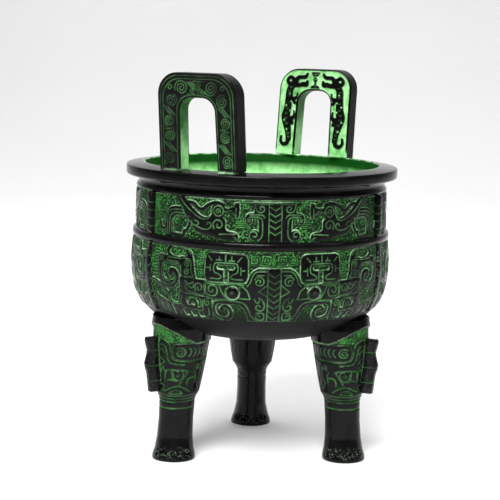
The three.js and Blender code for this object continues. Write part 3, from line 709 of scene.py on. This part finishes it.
def band_panel(name, mask_angle, profile, drawn_height, draw, rows, cols=BAND_COLS):
    low, high = profile[0][1], profile[-1][1]
    heights = np.linspace(low, high, rows)
    radii = radius_at(profile, heights)
    turns = np.radians(np.linspace(-60, 60, cols))
    drawn_x = np.abs(turns - math.radians(PATTERN_TURN)) / np.radians(60) * DRAWN_HALF
    drawn_y = (heights - low) / (high - low) * drawn_height
    X, Y = np.meshgrid(drawn_x, drawn_y)
    sheet = Sheet(X, Y)
    draw(sheet)
    lift, level = relief(sheet, RELIEF, crown=BAND_CROWN)
    edge_fade = np.minimum(np.minimum(Y, drawn_height - Y) / 0.5, 1).ravel()
    lift = lift * np.clip(edge_fade, 0, 1)
    slope = np.gradient(radii, heights)
    out_r = 1 / np.hypot(1, slope)
    out_z = -slope / np.hypot(1, slope)
    R = np.repeat(radii, cols) + lift * np.repeat(out_r, cols)
    Z = np.repeat(heights, cols) + lift * np.repeat(out_z, cols)
    A = np.tile(turns, rows) + math.radians(mask_angle)
    front = np.stack([R * np.cos(A), R * np.sin(A), Z], axis=1)
    back_turns = np.tile(turns + math.radians(mask_angle), BACK_ROWS)
    back_heights = np.linspace(low, high, BACK_ROWS)
    back_r = np.repeat(radius_at(profile, back_heights) - BAND_THICKNESS, cols)
    back_z = np.repeat(back_heights, cols)
    back = np.stack([back_r * np.cos(back_turns), back_r * np.sin(back_turns), back_z], axis=1)
    count = rows * cols
    quads = [grid_quads(rows, cols), grid_quads(BACK_ROWS, cols, count, flip=True)]
    c = np.arange(cols - 1)
    top = (rows - 1) * cols
    back_top = count + (BACK_ROWS - 1) * cols
    quads.append(np.stack([c + count, c + count + 1, c + 1, c], axis=1))
    quads.append(np.stack([top + c, top + c + 1, back_top + c + 1, back_top + c], axis=1))
    sides = []
    for col, turned in ((0, True), (cols - 1, False)):
        ring = [r * cols + col for r in range(rows)]
        ring += [count + r * cols + col for r in reversed(range(BACK_ROWS))]
        sides.append(ring[::-1] if turned else ring)
    points = np.concatenate([front, back])
    # pale outlines are made brighter where they face up: a painted highlight
    layers = layer_values(sheet, level, len(back), upward_highlight(sheet, rows, cols, drawn_height / (rows - 1)))
    # painted highlight: a pale line along the top edge of each band, under the moulding or the ring
    under_moulding_highlight = np.clip(1 - (drawn_height - Y.ravel()) / 0.8, 0, 1)
    layers["edge"][:count] = np.maximum(layers["edge"][:count], 0.8 * under_moulding_highlight)
    return quad_mesh(name, points, np.concatenate(quads), sides, layers)


# The plain turned parts: rim, neck, ring, bottom and the inside of the bowl

def rounded(corner_before, corner, corner_after, radius, steps=4):
    """Points of a small round at a corner of a profile."""
    p0, p1, p2 = (np.asarray(p, float) for p in (corner_before, corner, corner_after))
    a = p1 + (p0 - p1) / np.linalg.norm(p0 - p1) * radius
    b = p1 + (p2 - p1) / np.linalg.norm(p2 - p1) * radius
    t = np.linspace(0, 1, steps)[:, None]
    return (1 - t) ** 2 * a + 2 * (1 - t) * t * p1 + t ** 2 * b


def round_all(points, radii):
    out = [np.asarray(points[0], float)[None]]
    for i in range(1, len(points) - 1):
        if radii[i] > 0:
            out.append(rounded(points[i - 1], points[i], points[i + 1], radii[i]))
        else:
            out.append(np.asarray(points[i], float)[None])
    out.append(np.asarray(points[-1], float)[None])
    return np.concatenate(out)


def inner_profile():
    rows = curve(BOWL_PROFILE, 4)
    along = np.gradient(rows, axis=0)
    along /= np.linalg.norm(along, axis=1)[:, None]
    inside = rows + WALL * np.stack([-along[:, 1], along[:, 0]], axis=1)
    inside[0] = (0, BOWL_BOTTOM + WALL)
    return inside[inside[:, 0] >= 0]


RUB_WIDTH = 1.6
SHELL_SEGMENTS = 256


def shell_profile():
    """Outline of the wall from the middle of the bottom, up the outside, over the rim and down the inside."""
    bottom = curve(BOWL_PROFILE[:6], 5)
    hidden = curve(BOWL_PROFILE[5:], 4)[1:] - [BAND_THICKNESS - 0.2, 0]
    neck = [(80.0, RING_BOTTOM - 0.4), (80.5, RING_BOTTOM + 0.3), (80.8, RING_BOTTOM + 2),
            (80.5, RING_TOP - 0.4), (80.0, RING_TOP + 0.2), (76.9, RING_TOP + 0.5), (76.3, BAND_TOP - 0.2),
            (78.1, BAND_TOP), (78.6, BAND_TOP + 1.2), (78.1, BAND_TOP + 2.4), (77.4, BAND_TOP + 2.9),
            (77.2, BAND_TOP + 4.4), (77.7, LIP_BOTTOM - 1.6), (79.0, LIP_BOTTOM - 0.35)]
    slope = RIM_RISE / (RIM_RADIUS - MOUTH_RADIUS)
    rim = round_all([(79.6, LIP_BOTTOM), (RIM_RADIUS, LIP_BOTTOM), (RIM_RADIUS, RIM_HEIGHT),
                     (MOUTH_RADIUS + RUB_WIDTH, RIM_HEIGHT + RIM_RISE - slope * RUB_WIDTH),
                     (MOUTH_RADIUS, RIM_HEIGHT + RIM_RISE), (MOUTH_RADIUS, RIM_HEIGHT - 3)], [0, 1.5, 0.9,
                                                                                              0, 1.1, 0])
    inside = inner_profile()[::-1]
    top_inside = [(MOUTH_RADIUS, RIM_HEIGHT - 4), (72.9, 170), (72.9, 156), (73.6, 145)]
    return np.concatenate([bottom, hidden, neck, rim, top_inside, inside])


def revolve(name, profile, inside_from, segments=SHELL_SEGMENTS):
    rows = len(profile)
    turns = np.linspace(0, 2 * np.pi, segments, endpoint=False)
    inner = profile[1:-1]
    R = np.repeat(inner[:, 0], segments)
    Z = np.repeat(inner[:, 1], segments)
    A = np.tile(turns, rows - 2)
    points = np.stack([R * np.cos(A), R * np.sin(A), Z], axis=1)
    poles = np.array([[0, 0, profile[0, 1]], [0, 0, profile[-1, 1]]])
    count = len(points)
    quads = grid_quads(rows - 2, segments, close_cols=True)
    low_fan = [[count, (s + 1) % segments, s] for s in range(segments)]
    top = count - segments
    high_fan = [[count + 1, top + s, top + (s + 1) % segments] for s in range(segments)]
    is_inside = np.repeat(np.arange(1, rows - 1) >= inside_from, segments).astype(float)
    zeros = np.zeros(count + 2)
    # painted shadow: the inside wall just under the rim, where the rim shades it, gets a darker green
    shade_under_rim = is_inside * np.clip((Z - SHADE_LOW) / 1.2, 0, 1)
    by_handle = np.abs(np.cos(A - math.radians(HANDLE_TURN))) ** 12
    # pale strip along the mouth: rubbed paint, stronger by the handles, and a painted reflection of the
    # bright backdrop on the rim top
    at_mouth = (R < MOUTH_RADIUS + 1.2) & (Z > RIM_HEIGHT + 0.6)
    rub_and_reflection = np.concatenate([at_mouth * (0.6 + 0.4 * by_handle), [0, 0]])
    layers = {"paint": np.concatenate([is_inside, [0, 1]]), "line": zeros, "pattern": zeros,
              "edge": rub_and_reflection, "foot": zeros, "painted_shade": np.concatenate([shade_under_rim, [0, 0]]),
              "inner": np.concatenate([is_inside, [0, 1]]),
              "matt": np.concatenate([Z < BAND_BOTTOM, [1, 0]])}
    return quad_mesh(name, np.concatenate([points, poles]), quads, low_fan + high_fan, layers)


# Legs

LEG_ROOT = 1.2
LEG_COLS = 200
SHAFT_ROWS = 26
MASK_ROWS = 118
MASK_BOTTOM = 31
LEG_TOP = 90


def leg_point(angle, a, r, z):
    """Points of a leg: a is the turn about its own leaning axis from straight out, in radians."""
    centre = FOOT_CIRCLE - LEG_LEAN * z / BOWL_BOTTOM
    slim = np.clip(z / 14, 0, 1) * (1 - np.clip((z - 37) / 5.9, 0, 1))
    out = centre + r * np.cos(a)
    side = r * np.sin(a) * (1 - (1 - SHAFT_SIDE_SCALE) * slim)
    c, s = math.cos(math.radians(angle)), math.sin(math.radians(angle))
    return np.stack([out * c - side * s, out * s + side * c, z], axis=-1)


def end_in_wall(points):
    """Points above the bowl's outside are brought down into its wall, so that none shows inside the bowl."""
    radii, heights = np.transpose(BOWL_PROFILE)
    outside = np.interp(np.hypot(points[:, 0], points[:, 1]), radii, heights)
    points[:, 2] = np.minimum(points[:, 2], outside + LEG_ROOT)
    return points


def leg_heights():
    shaft = np.linspace(0, MASK_BOTTOM, SHAFT_ROWS, endpoint=False)
    return np.concatenate([shaft, np.linspace(MASK_BOTTOM, LEG_TOP, MASK_ROWS)])


def make_leg(name, angle, cols=LEG_COLS):
    heights = leg_heights()
    radii = np.interp(heights, [h for h, r in LEG_PROFILE], [r for h, r in LEG_PROFILE])
    turns = np.linspace(-np.pi, np.pi, cols, endpoint=False)
    A, Z = np.meshgrid(turns, heights)
    sheet = Sheet(np.abs(np.degrees(A)) * LEG_DRAWN_SCALE, Z)
    draw_leg(sheet)
    lift, level = leg_relief(sheet)
    R = np.repeat(radii, cols) + lift
    points = leg_point(angle, A.ravel(), R, Z.ravel())
    rows = len(heights)
    sole = leg_point(angle, np.zeros(1), np.zeros(1), np.zeros(1))
    crown = leg_point(angle, np.zeros(1), np.zeros(1), np.full(1, heights[-1]))
    points, crown = end_in_wall(points), end_in_wall(crown)
    count = rows * cols
    quads = grid_quads(rows, cols, close_cols=True)
    fans = [[count, (s + 1) % cols, s] for s in range(cols)]
    top = count - cols
    fans += [[count + 1, top + s, top + (s + 1) % cols] for s in range(cols)]
    layers = layer_values(sheet, level, 2, 0.15)
    layers["pattern"][:count] += 0.45 * layers["paint"][:count] * (Z.ravel() < 75)
    # pale line at the collar's lip: green paint there, and a painted highlight along the edge
    collar_paint_and_highlight = np.clip(1 - np.abs(Z.ravel() - collar_edge(sheet) - 0.4) / 0.7, 0, 1)
    layers["edge"][:count] = np.maximum(layers["edge"][:count], 0.55 * collar_paint_and_highlight)
    layers["foot"][:count] = np.clip(1.1 - np.abs(Z.ravel() - 5) / 4, 0, 1)
    return quad_mesh(name, np.concatenate([points, sole, crown]), quads, fans, layers)


# Flanges: thin fins between the panels, with a few engraved lines

FIN_THICKNESS = 4.6
LEG_FIN_THICKNESS = 4.4
BAND_FIN_DEPTH = 3.4
NECK_FIN_DEPTH = 4.6
LEG_FIN_DEPTH = 15
FIN_CUT = 0.3


def fin(name, angle, outer, depth, thickness, cuts=(), worn=0.0, rows=90, rounding=0.8):
    """A fin swept up along its outer edge, with lines cut across it at some heights."""
    edge = resample(np.asarray(outer, float), rows)
    half = thickness / 2
    near = rounding * 0.3
    section = np.array([(-depth, -half), (-rounding, -half), (-near, -half + near), (0, -half + rounding),
                        (0, half - rounding), (-near, half - near), (-rounding, half), (-depth, half)])
    cut = np.zeros(rows)
    for height in cuts:
        cut = np.maximum(cut, np.clip(1.2 - np.abs(edge[:, 1] - height) / 0.4, 0, 1))
    cols = len(section)
    flank = section[:, 0] > -depth
    radius = edge[:, :1] + section[:, 0] - FIN_CUT * cut[:, None] * flank
    side = section[:, 1] - FIN_CUT * cut[:, None] * flank * np.sign(section[:, 1])
    c, s = math.cos(math.radians(angle)), math.sin(math.radians(angle))
    z = np.repeat(edge[:, 1:], cols, axis=1)
    points = np.stack([radius * c - side * s, radius * s + side * c, z], axis=-1).reshape(-1, 3)
    caps = [list(range(cols))[::-1], [(rows - 1) * cols + i for i in range(cols)]]
    layers = {k: np.zeros(len(points)) for k in ("paint", "pattern", "edge")}
    layers["line"] = 0.3 * np.repeat(cut, cols)
    layers["foot"] = np.full(len(points), worn)
    return quad_mesh(name, points, grid_quads(rows, cols, close_cols=True), caps, layers)


# Handles

HANDLE_ROWS = 400
FACE_COLS = 42
SIDE_COLS = 6
HANDLE_RELIEF = 0.8


def arch(width, top_width, height, corner, base, steps=12):
    """Half-open arch outline from its left foot over the top to its right foot, as side and height."""
    slope = (width - top_width) / 2 / (height - base)
    half_top = top_width / 2
    left = [(-width / 2, base)]
    angle = np.linspace(np.pi, np.pi / 2, steps)
    for a in angle:
        left.append((-half_top + corner + corner * np.cos(a), height - corner + corner * np.sin(a)))
    left = np.array(left)
    left[1:, 0] -= slope * (height - left[1:, 1])
    right = left[::-1] * [-1, 1]
    return np.concatenate([left, right])


def resample(points, count):
    """The line's points at even spacing."""
    step = np.hypot(*np.diff(points, axis=0).T)
    along = np.concatenate([[0], np.cumsum(step)])
    at = np.linspace(0, along[-1], count)
    return np.stack([np.interp(at, along, points[:, 0]), np.interp(at, along, points[:, 1])], axis=1)


def match_arches(count):
    """Outer and inner outlines with points that lie across from each other."""
    outer_line = resample(arch(HANDLE_WIDTH, HANDLE_TOP_WIDTH, HANDLE_HEIGHT, HANDLE_CORNER, 0), count * 4)
    inner_line = resample(arch(OPENING_WIDTH, OPENING_TOP_WIDTH, HANDLE_HEIGHT - TOP_BAR, OPENING_CORNER, 0),
                          count * 4)
    turns_outer = run_of(outer_line)
    turns_inner = run_of(inner_line)
    common = (turns_outer + turns_inner) / 2
    where = np.linspace(common[0], common[-1], count)
    outer = np.stack([np.interp(where, turns_outer, outer_line[:, k]) for k in (0, 1)], axis=1)
    inner = np.stack([np.interp(where, turns_inner, inner_line[:, k]) for k in (0, 1)], axis=1)
    return outer, inner


def run_of(points):
    """How far along its arch each point is, with feet, corners and top matched to the same numbers."""
    step = np.hypot(*np.diff(points, axis=0).T)
    along = np.concatenate([[0], np.cumsum(step)])
    turn = np.unwrap(np.arctan2(*np.gradient(points, axis=0).T[::-1]))
    return along / along[-1] * 60 + (turn[0] - turn) / np.pi * 40


def make_handle(name, side, count=HANDLE_ROWS):
    outer, inner = match_arches(count)
    across = np.linspace(0, 1, FACE_COLS)
    front = inner[:, None] + (outer - inner)[:, None] * across[None, :, None]
    depth = np.linspace(0, 1, SIDE_COLS + 2)[1:-1]
    return sweep_handle(name, side, outer, inner, front, depth)


def sweep_handle(name, side, outer, inner, faces, depth):
    count, face_cols = faces.shape[:2]
    thickness = HANDLE_OUTER - HANDLE_INNER
    sheets = {}
    for face, draw in (("outside", draw_handle_outside), ("inside", draw_handle_inside)):
        sheet = Sheet(faces[..., 0] if face == "outside" else np.abs(faces[..., 0]), faces[..., 1])
        draw(sheet, faces)
        sheets[face] = sheet
    lift_out, level_out = relief(sheets["outside"], HANDLE_RELIEF, 0.4, 0.25)
    lift_in, level_in = relief(sheets["inside"], HANDLE_RELIEF, 0.35, 0.2)
    soften = np.ones(face_cols)
    soften[[0, -1]] = 0
    lift_out = lift_out.reshape(count, face_cols) * soften - HANDLE_RELIEF
    lift_in = lift_in.reshape(count, face_cols) * soften - HANDLE_RELIEF
    round_in = np.zeros(face_cols)
    round_in[[0, -1]] = -0.35
    parts = []
    layers = {k: [] for k in ("paint", "line", "pattern", "edge", "foot", "inner", "painted_shade", "matt")}

    def add(yz, x, values):
        parts.append(np.concatenate([x[..., None], yz], axis=-1))
        for k in layers:
            layers[k].append(values.get(k, np.zeros(x.shape)))

    values_out = {k: v.reshape(count, face_cols) for k, v in layer_values(sheets["outside"],
                                                                          level_out).items()}
    values_out["line"] = 0.9 * values_out["line"]
    values_out["edge"] = np.maximum(values_out["edge"], np.clip(1.4 - faces[..., 1] / 1.2, 0, 1))
    values_in = {k: v.reshape(count, face_cols) for k, v in layer_values(sheets["inside"], level_in).items()}
    values_in["edge"] = np.maximum(values_in["edge"], np.clip(0.9 - faces[..., 1] / 6, 0, 1))
    add(faces, thickness + lift_out + round_in, values_out)
    side_depth = thickness * (1 - depth)
    add(np.repeat(outer[:, None], len(depth), axis=1), np.tile(side_depth, (count, 1)),
        {"matt": np.full((count, len(depth)), 0.45)})
    flipped = {k: v[:, ::-1] for k, v in values_in.items()}
    flipped["inner"] = np.full((count, face_cols), 0.78)
    add(faces[:, ::-1], -(lift_in[:, ::-1]) - round_in[::-1], flipped)
    rise = np.tile(inner[:, 1:], (1, len(depth)))
    full = np.ones(rise.shape)
    # painted shade and light on the reveal: darker green towards the top, which the arch shades, and a pale
    # painted highlight towards the bottom, where light from above falls
    reveal = {"paint": full, "inner": full, "painted_shade": np.clip((rise - 8) / 26, 0, 0.85),
              "edge": np.clip(1.3 - rise / 20, 0, 1)}
    add(np.repeat(inner[:, None], len(depth), axis=1), np.tile(side_depth[::-1], (count, 1)), reveal)
    ring = np.concatenate(parts, axis=1)
    x = HANDLE_INNER + ring[..., 0] + HANDLE_FLARE * np.clip(ring[..., 2], 0, None) / HANDLE_HEIGHT
    from_rim = (RIM_RADIUS - np.hypot(x, ring[..., 1])) / (RIM_RADIUS - MOUTH_RADIUS)
    foot = RIM_RISE * np.clip(from_rim, 0, 1) - 0.1
    z = RIM_HEIGHT + foot + ring[..., 2] * (1 - foot / HANDLE_HEIGHT)
    c, s = side * math.cos(math.radians(HANDLE_TURN)), side * math.sin(math.radians(HANDLE_TURN))
    points = np.stack([x * c - ring[..., 1] * s, x * s + ring[..., 1] * c, z], axis=-1).reshape(-1, 3)
    cols = ring.shape[1]
    quads = grid_quads(count, cols, close_cols=True)
    caps = [list(range(cols))[::-1], [(count - 1) * cols + i for i in range(cols)]]
    flat = {k: np.concatenate(v, axis=1).ravel() for k, v in layers.items()}
    return quad_mesh(name, points, quads, caps, flat)


# Materials

class Nodes:
    """Short names for making a node material."""

    def __init__(self, name):
        self.material = bpy.data.materials.new(name)
        self.material.use_nodes = True
        self.tree = self.material.node_tree
        self.shader = self.tree.nodes["Principled BSDF"]

    def new(self, kind, **settings):
        node = self.tree.nodes.new(kind)
        for key, value in settings.items():
            setattr(node, key, value)
        return node

    def link(self, source, target):
        self.tree.links.new(source, target)

    def layer(self, name):
        return self.new("ShaderNodeAttribute", attribute_name=name).outputs["Fac"]

    def noise(self, scale, detail=3.0, rough=0.55):
        coords = self.new("ShaderNodeTexCoord")
        noise = self.new("ShaderNodeTexNoise")
        noise.inputs["Scale"].default_value = scale
        noise.inputs["Detail"].default_value = detail
        noise.inputs["Roughness"].default_value = rough
        self.link(coords.outputs["Object"], noise.inputs["Vector"])
        return noise.outputs["Fac"]

    def math(self, operation, a, b=0.0, clamp=False):
        node = self.new("ShaderNodeMath", operation=operation, use_clamp=clamp)
        for socket, value in zip(node.inputs, (a, b)):
            if isinstance(value, (int, float)):
                socket.default_value = value
            else:
                self.link(value, socket)
        return node.outputs[0]

    def ramp(self, factor, low, high, low_value=0.0, high_value=1.0):
        node = self.new("ShaderNodeMapRange")
        names = ("From Min", "From Max", "To Min", "To Max")
        for key, value in zip(names, (low, high, low_value, high_value)):
            node.inputs[key].default_value = value
        self.link(factor, node.inputs["Value"])
        return node.outputs[0]

    def mix(self, factor, a, b):
        node = self.new("ShaderNodeMix", data_type="RGBA")
        for socket, value in ((node.inputs["Factor"], factor), (node.inputs[6], a), (node.inputs[7], b)):
            if isinstance(value, tuple):
                socket.default_value = (*value, 1)
            elif isinstance(value, (int, float)):
                socket.default_value = value
            else:
                self.link(value, socket)
        return node.outputs[2]


BLACK = (0.0028, 0.0025, 0.0028)
BLACK_WORN = (0.006, 0.0055, 0.006)
GREEN_DARK = (0.003, 0.009, 0.003)
# darker green for painted shade and painted shadow
GREEN_PAINTED_SHADE = (0.0022, 0.048, 0.003)
GREEN = (0.008, 0.045, 0.009)
GREEN_LIGHT = (0.036, 0.20, 0.034)
GREEN_SPOT = (0.10, 0.33, 0.09)
# pale colour for paint left along edges and for painted highlights and reflections
PALE_EDGE_AND_HIGHLIGHT = (0.46, 0.78, 0.44)
GREEN_INSIDE = (0.44, 0.86, 0.39)
INSIDE_SHADE = (0.11, 0.42, 0.10)
PALE = (0.10, 0.29, 0.095)
SPECK = (0.11, 0.145, 0.105)


def patina(name="aged_bronze_patina"):
    """Near-black gloss with green paint left in everything that is cut low, plus painted shade and painted
    highlights that the attributes carry.
    """
    n = Nodes(name)
    paint, cut, pattern, edge, foot = (n.layer(k) for k in ("paint", "line", "pattern", "edge", "foot"))
    cloud = n.noise(70, 4)
    fine = n.noise(900, 3)
    black = n.mix(n.ramp(cloud, 0.35, 0.7), BLACK, BLACK_WORN)
    green = n.mix(n.ramp(n.noise(150, 3), 0.4, 0.6), GREEN, GREEN_LIGHT)
    green = n.mix(n.ramp(fine, 0.52, 0.66), green, GREEN_SPOT)
    ground = n.mix(n.ramp(pattern, 0.15, 0.7), green, GREEN_DARK)
    inside = n.mix(n.ramp(n.noise(110, 5, 0.6), 0.34, 0.56), INSIDE_SHADE, GREEN_INSIDE)
    ground = n.mix(n.layer("inner"), ground, inside)
    # painted shade: darker green under the rim and at the top of the handle reveals
    ground = n.mix(n.layer("painted_shade"), ground, GREEN_PAINTED_SHADE)
    amount = n.math("MULTIPLY", paint, n.ramp(fine, 0.24, 0.34), clamp=True)
    colour = n.mix(amount, black, ground)
    rubbed = n.ramp(n.noise(26, 3), 0.38, 0.6, 0.45, 1.0)
    line_amount = n.math("MULTIPLY", cut, n.ramp(n.noise(150, 3), 0.36, 0.6, 0.3, 1.0), clamp=True)
    line_amount = n.math("MULTIPLY", line_amount, rubbed, clamp=True)
    colour = n.mix(line_amount, colour, PALE)
    # pale edges: paint left along the outlines, with painted highlights, a painted reflection on the rim and
    # painted light in the handle reveals
    edge_and_highlight_amount = n.math("MULTIPLY", edge, n.ramp(n.noise(190, 4, 0.6), 0.4, 0.58, 0.08, 1.1), clamp=True)
    edge_and_highlight_amount = n.math("MULTIPLY", edge_and_highlight_amount, rubbed, clamp=True)
    colour = n.mix(edge_and_highlight_amount, colour, PALE_EDGE_AND_HIGHLIGHT)
    speck = n.math("MULTIPLY", foot, n.ramp(n.noise(650, 5, 0.7), 0.53, 0.62), clamp=True)
    colour = n.mix(speck, colour, SPECK)
    n.link(colour, n.shader.inputs["Base Color"])
    dull = n.math("MAXIMUM", amount, line_amount)
    dull = n.math("MAXIMUM", dull, n.layer("matt"))
    rough = n.math("ADD", n.ramp(dull, 0, 1, 0.13, 0.55), n.ramp(fine, 0.2, 0.8, -0.04, 0.06))
    n.link(rough, n.shader.inputs["Roughness"])
    bump = n.new("ShaderNodeBump")
    bump.inputs["Strength"].default_value = 0.25
    bump.inputs["Distance"].default_value = 0.0003
    n.link(n.noise(500, 4, 0.6), bump.inputs["Height"])
    n.link(bump.outputs["Normal"], n.shader.inputs["Normal"])
    n.shader.inputs["IOR"].default_value = 1.22
    return n.material


def floor_material():
    n = Nodes("pale_paper")
    colour = n.mix(n.ramp(n.noise(3, 2), 0.3, 0.7), (0.90, 0.90, 0.90), (0.93, 0.93, 0.93))
    n.link(colour, n.shader.inputs["Base Color"])
    n.shader.inputs["Roughness"].default_value = 0.9
    return n.material


# Pieces

def build_pieces():
    lower = [tuple(p) for p in curve(BOWL_PROFILE[5:], 5)]
    upper = [(78.15, RING_TOP), (77.84, BAND_TOP)]
    made = []
    for number, angle in enumerate(MASK_ANGLES, 1):
        made.append(band_panel(f"lower_band_{number}", angle, lower, LOWER_DRAWN_HEIGHT, draw_lower,
                               LOWER_ROWS))
        made.append(band_panel(f"upper_band_{number}", angle, upper, UPPER_DRAWN_HEIGHT, draw_upper,
                               UPPER_ROWS))
    outline = shell_profile()
    inside_from = int(np.argmax((outline[:, 0] < MOUTH_RADIUS + 0.4) & (outline[:, 1] > RIM_HEIGHT)))
    made.append(revolve("vessel_shell", outline, inside_from))
    for number, angle in enumerate(LEG_ANGLES, 1):
        made.append(make_leg(f"leg_{number}", angle))
        made.extend(fins(number, angle))
    made.append(make_handle("handle_right", 1))
    made.append(make_handle("handle_left", -1))
    return made


def fins(number, angle):
    lower = [(radius_at(BOWL_PROFILE, z) + 1.9, z) for z in np.linspace(95, 136.6, 9)]
    upper = [(80.2, 141.9), (81.4, 143.4), (81.6, 154), (81.6, 165.4), (80.6, 167.2)]
    leg = curve([(79.5, 43.6), (79.9, 47), (80.4, 50.5), (80.9, 55), (81.9, 58), (82.6, 60.8), (82.0, 63.6),
                 (81.1, 67), (81.1, 70), (82, 73.4), (82.4, 76), (82, 77.7)], 3)
    return [fin(f"band_fin_{number}", angle, lower, BAND_FIN_DEPTH, FIN_THICKNESS, worn=1.0),
            fin(f"neck_fin_{number}", angle, upper, NECK_FIN_DEPTH, FIN_THICKNESS,
                cuts=(146.4, 151.2, 156, 160.8), worn=0.1),
            fin(f"leg_fin_{number}", angle, leg, LEG_FIN_DEPTH, LEG_FIN_THICKNESS,
                cuts=(50.4, 60, 69.4), worn=0.15)]


# Floor, light and camera

CAMERA_ANGLE = 206.7
CAMERA_DISTANCE = 1000.9
CAMERA_HEIGHT = 266.85
CAMERA_SIDE = 6.4
CAMERA_PITCH = 7.98
CAMERA_ROLL = 1.254
FOCAL_LENGTH = 114.8


def toward_camera(degrees_round=0.0):
    turn = math.radians(CAMERA_ANGLE + degrees_round)
    return Vector((math.cos(turn), math.sin(turn), 0))


def make_camera():
    out = toward_camera()
    right = Vector((-out.y, out.x, 0))
    data = bpy.data.cameras.new("camera")
    data.lens = FOCAL_LENGTH
    data.sensor_width = 36
    data.clip_end = 100
    camera = bpy.data.objects.new("camera", data)
    pitch = math.radians(CAMERA_PITCH)
    look = (-out * math.cos(pitch) - Vector((0, 0, 1)) * math.sin(pitch)).normalized()
    up = right.cross(look)
    turned = Matrix.Rotation(math.radians(-CAMERA_ROLL), 3, look)
    basis = Matrix((right, up, -look)).transposed()
    place = out * CAMERA_DISTANCE - right * CAMERA_SIDE + Vector((0, 0, CAMERA_HEIGHT))
    camera.matrix_world = Matrix.Translation(place / 1000) @ (turned @ basis).to_4x4()
    bpy.context.scene.collection.objects.link(camera)
    bpy.context.scene.camera = camera


BACKDROP_AWAY = 2.3
BACKDROP_CURVE = 0.9


def make_floor():
    """Pale paper that runs back from the object and curves up behind it."""
    front = [(-4.0, 0.0), (BACKDROP_AWAY - BACKDROP_CURVE, 0.0)]
    bend = [(BACKDROP_AWAY - BACKDROP_CURVE * (1 - math.sin(t)), BACKDROP_CURVE * (1 - math.cos(t)))
            for t in np.linspace(0.1, math.pi / 2, 16)]
    line = front + bend + [(BACKDROP_AWAY, 4.0)]
    out = toward_camera()
    across = Vector((-out.y, out.x, 0)) * 5
    points = [-out * away + Vector((0, 0, height)) + across * side
              for away, height in line for side in (-1, 1)]
    faces = [(2 * i, 2 * i + 1, 2 * i + 3, 2 * i + 2) for i in range(len(line) - 1)]
    mesh = bpy.data.meshes.new("floor")
    mesh.from_pydata(points, [], faces)
    mesh.polygons.foreach_set("use_smooth", [True] * len(faces))
    floor = bpy.data.objects.new("floor", mesh)
    bpy.context.scene.collection.objects.link(floor)
    floor.data.materials.append(floor_material())


def area_light(name, round_by, away, height, size, power, aim=(0, 0, 0.1), spread=180):
    data = bpy.data.lights.new(name, "AREA")
    data.shape = "RECTANGLE"
    data.spread = math.radians(spread)
    data.size, data.size_y = size
    data.energy = power
    light = bpy.data.objects.new(name, data)
    light.location = toward_camera(round_by) * away + Vector((0, 0, height))
    light.rotation_euler = (light.location - Vector(aim)).to_track_quat("Z", "Y").to_euler()
    bpy.context.scene.collection.objects.link(light)


def make_light():
    world = bpy.data.worlds.new("studio")
    world.use_nodes = True
    world.node_tree.nodes["Background"].inputs["Color"].default_value = (0.95, 0.97, 1, 1)
    world.node_tree.nodes["Background"].inputs["Strength"].default_value = 0.06
    bpy.context.scene.world = world
    bpy.context.scene.view_settings.view_transform = "Standard"
    area_light("top_light", 180, 0.3, 1.7, (2.6, 1.8), 25)
    area_light("key_light", -14, 0.95, 1.1, (0.8, 0.6), 4.2, aim=(0, 0, 0.14), spread=60)
    area_light("bowl_light", 180, 0.12, 1.1, (0.06, 0.06), 0.08, aim=(0, 0, 0.18), spread=6)
    area_light("side_light", 68, 1.3, 0.9, (0.4, 0.9), 1.5)
    behind = -toward_camera() * 2.2 + Vector((0, 0, 0.4))
    area_light("backdrop_light", 180, 0.9, 2.1, (2.6, 0.6), 27, aim=behind)


bronze = patina()
for piece in build_pieces():
    piece.data.materials.append(bronze)
make_floor()
make_light()
make_camera()
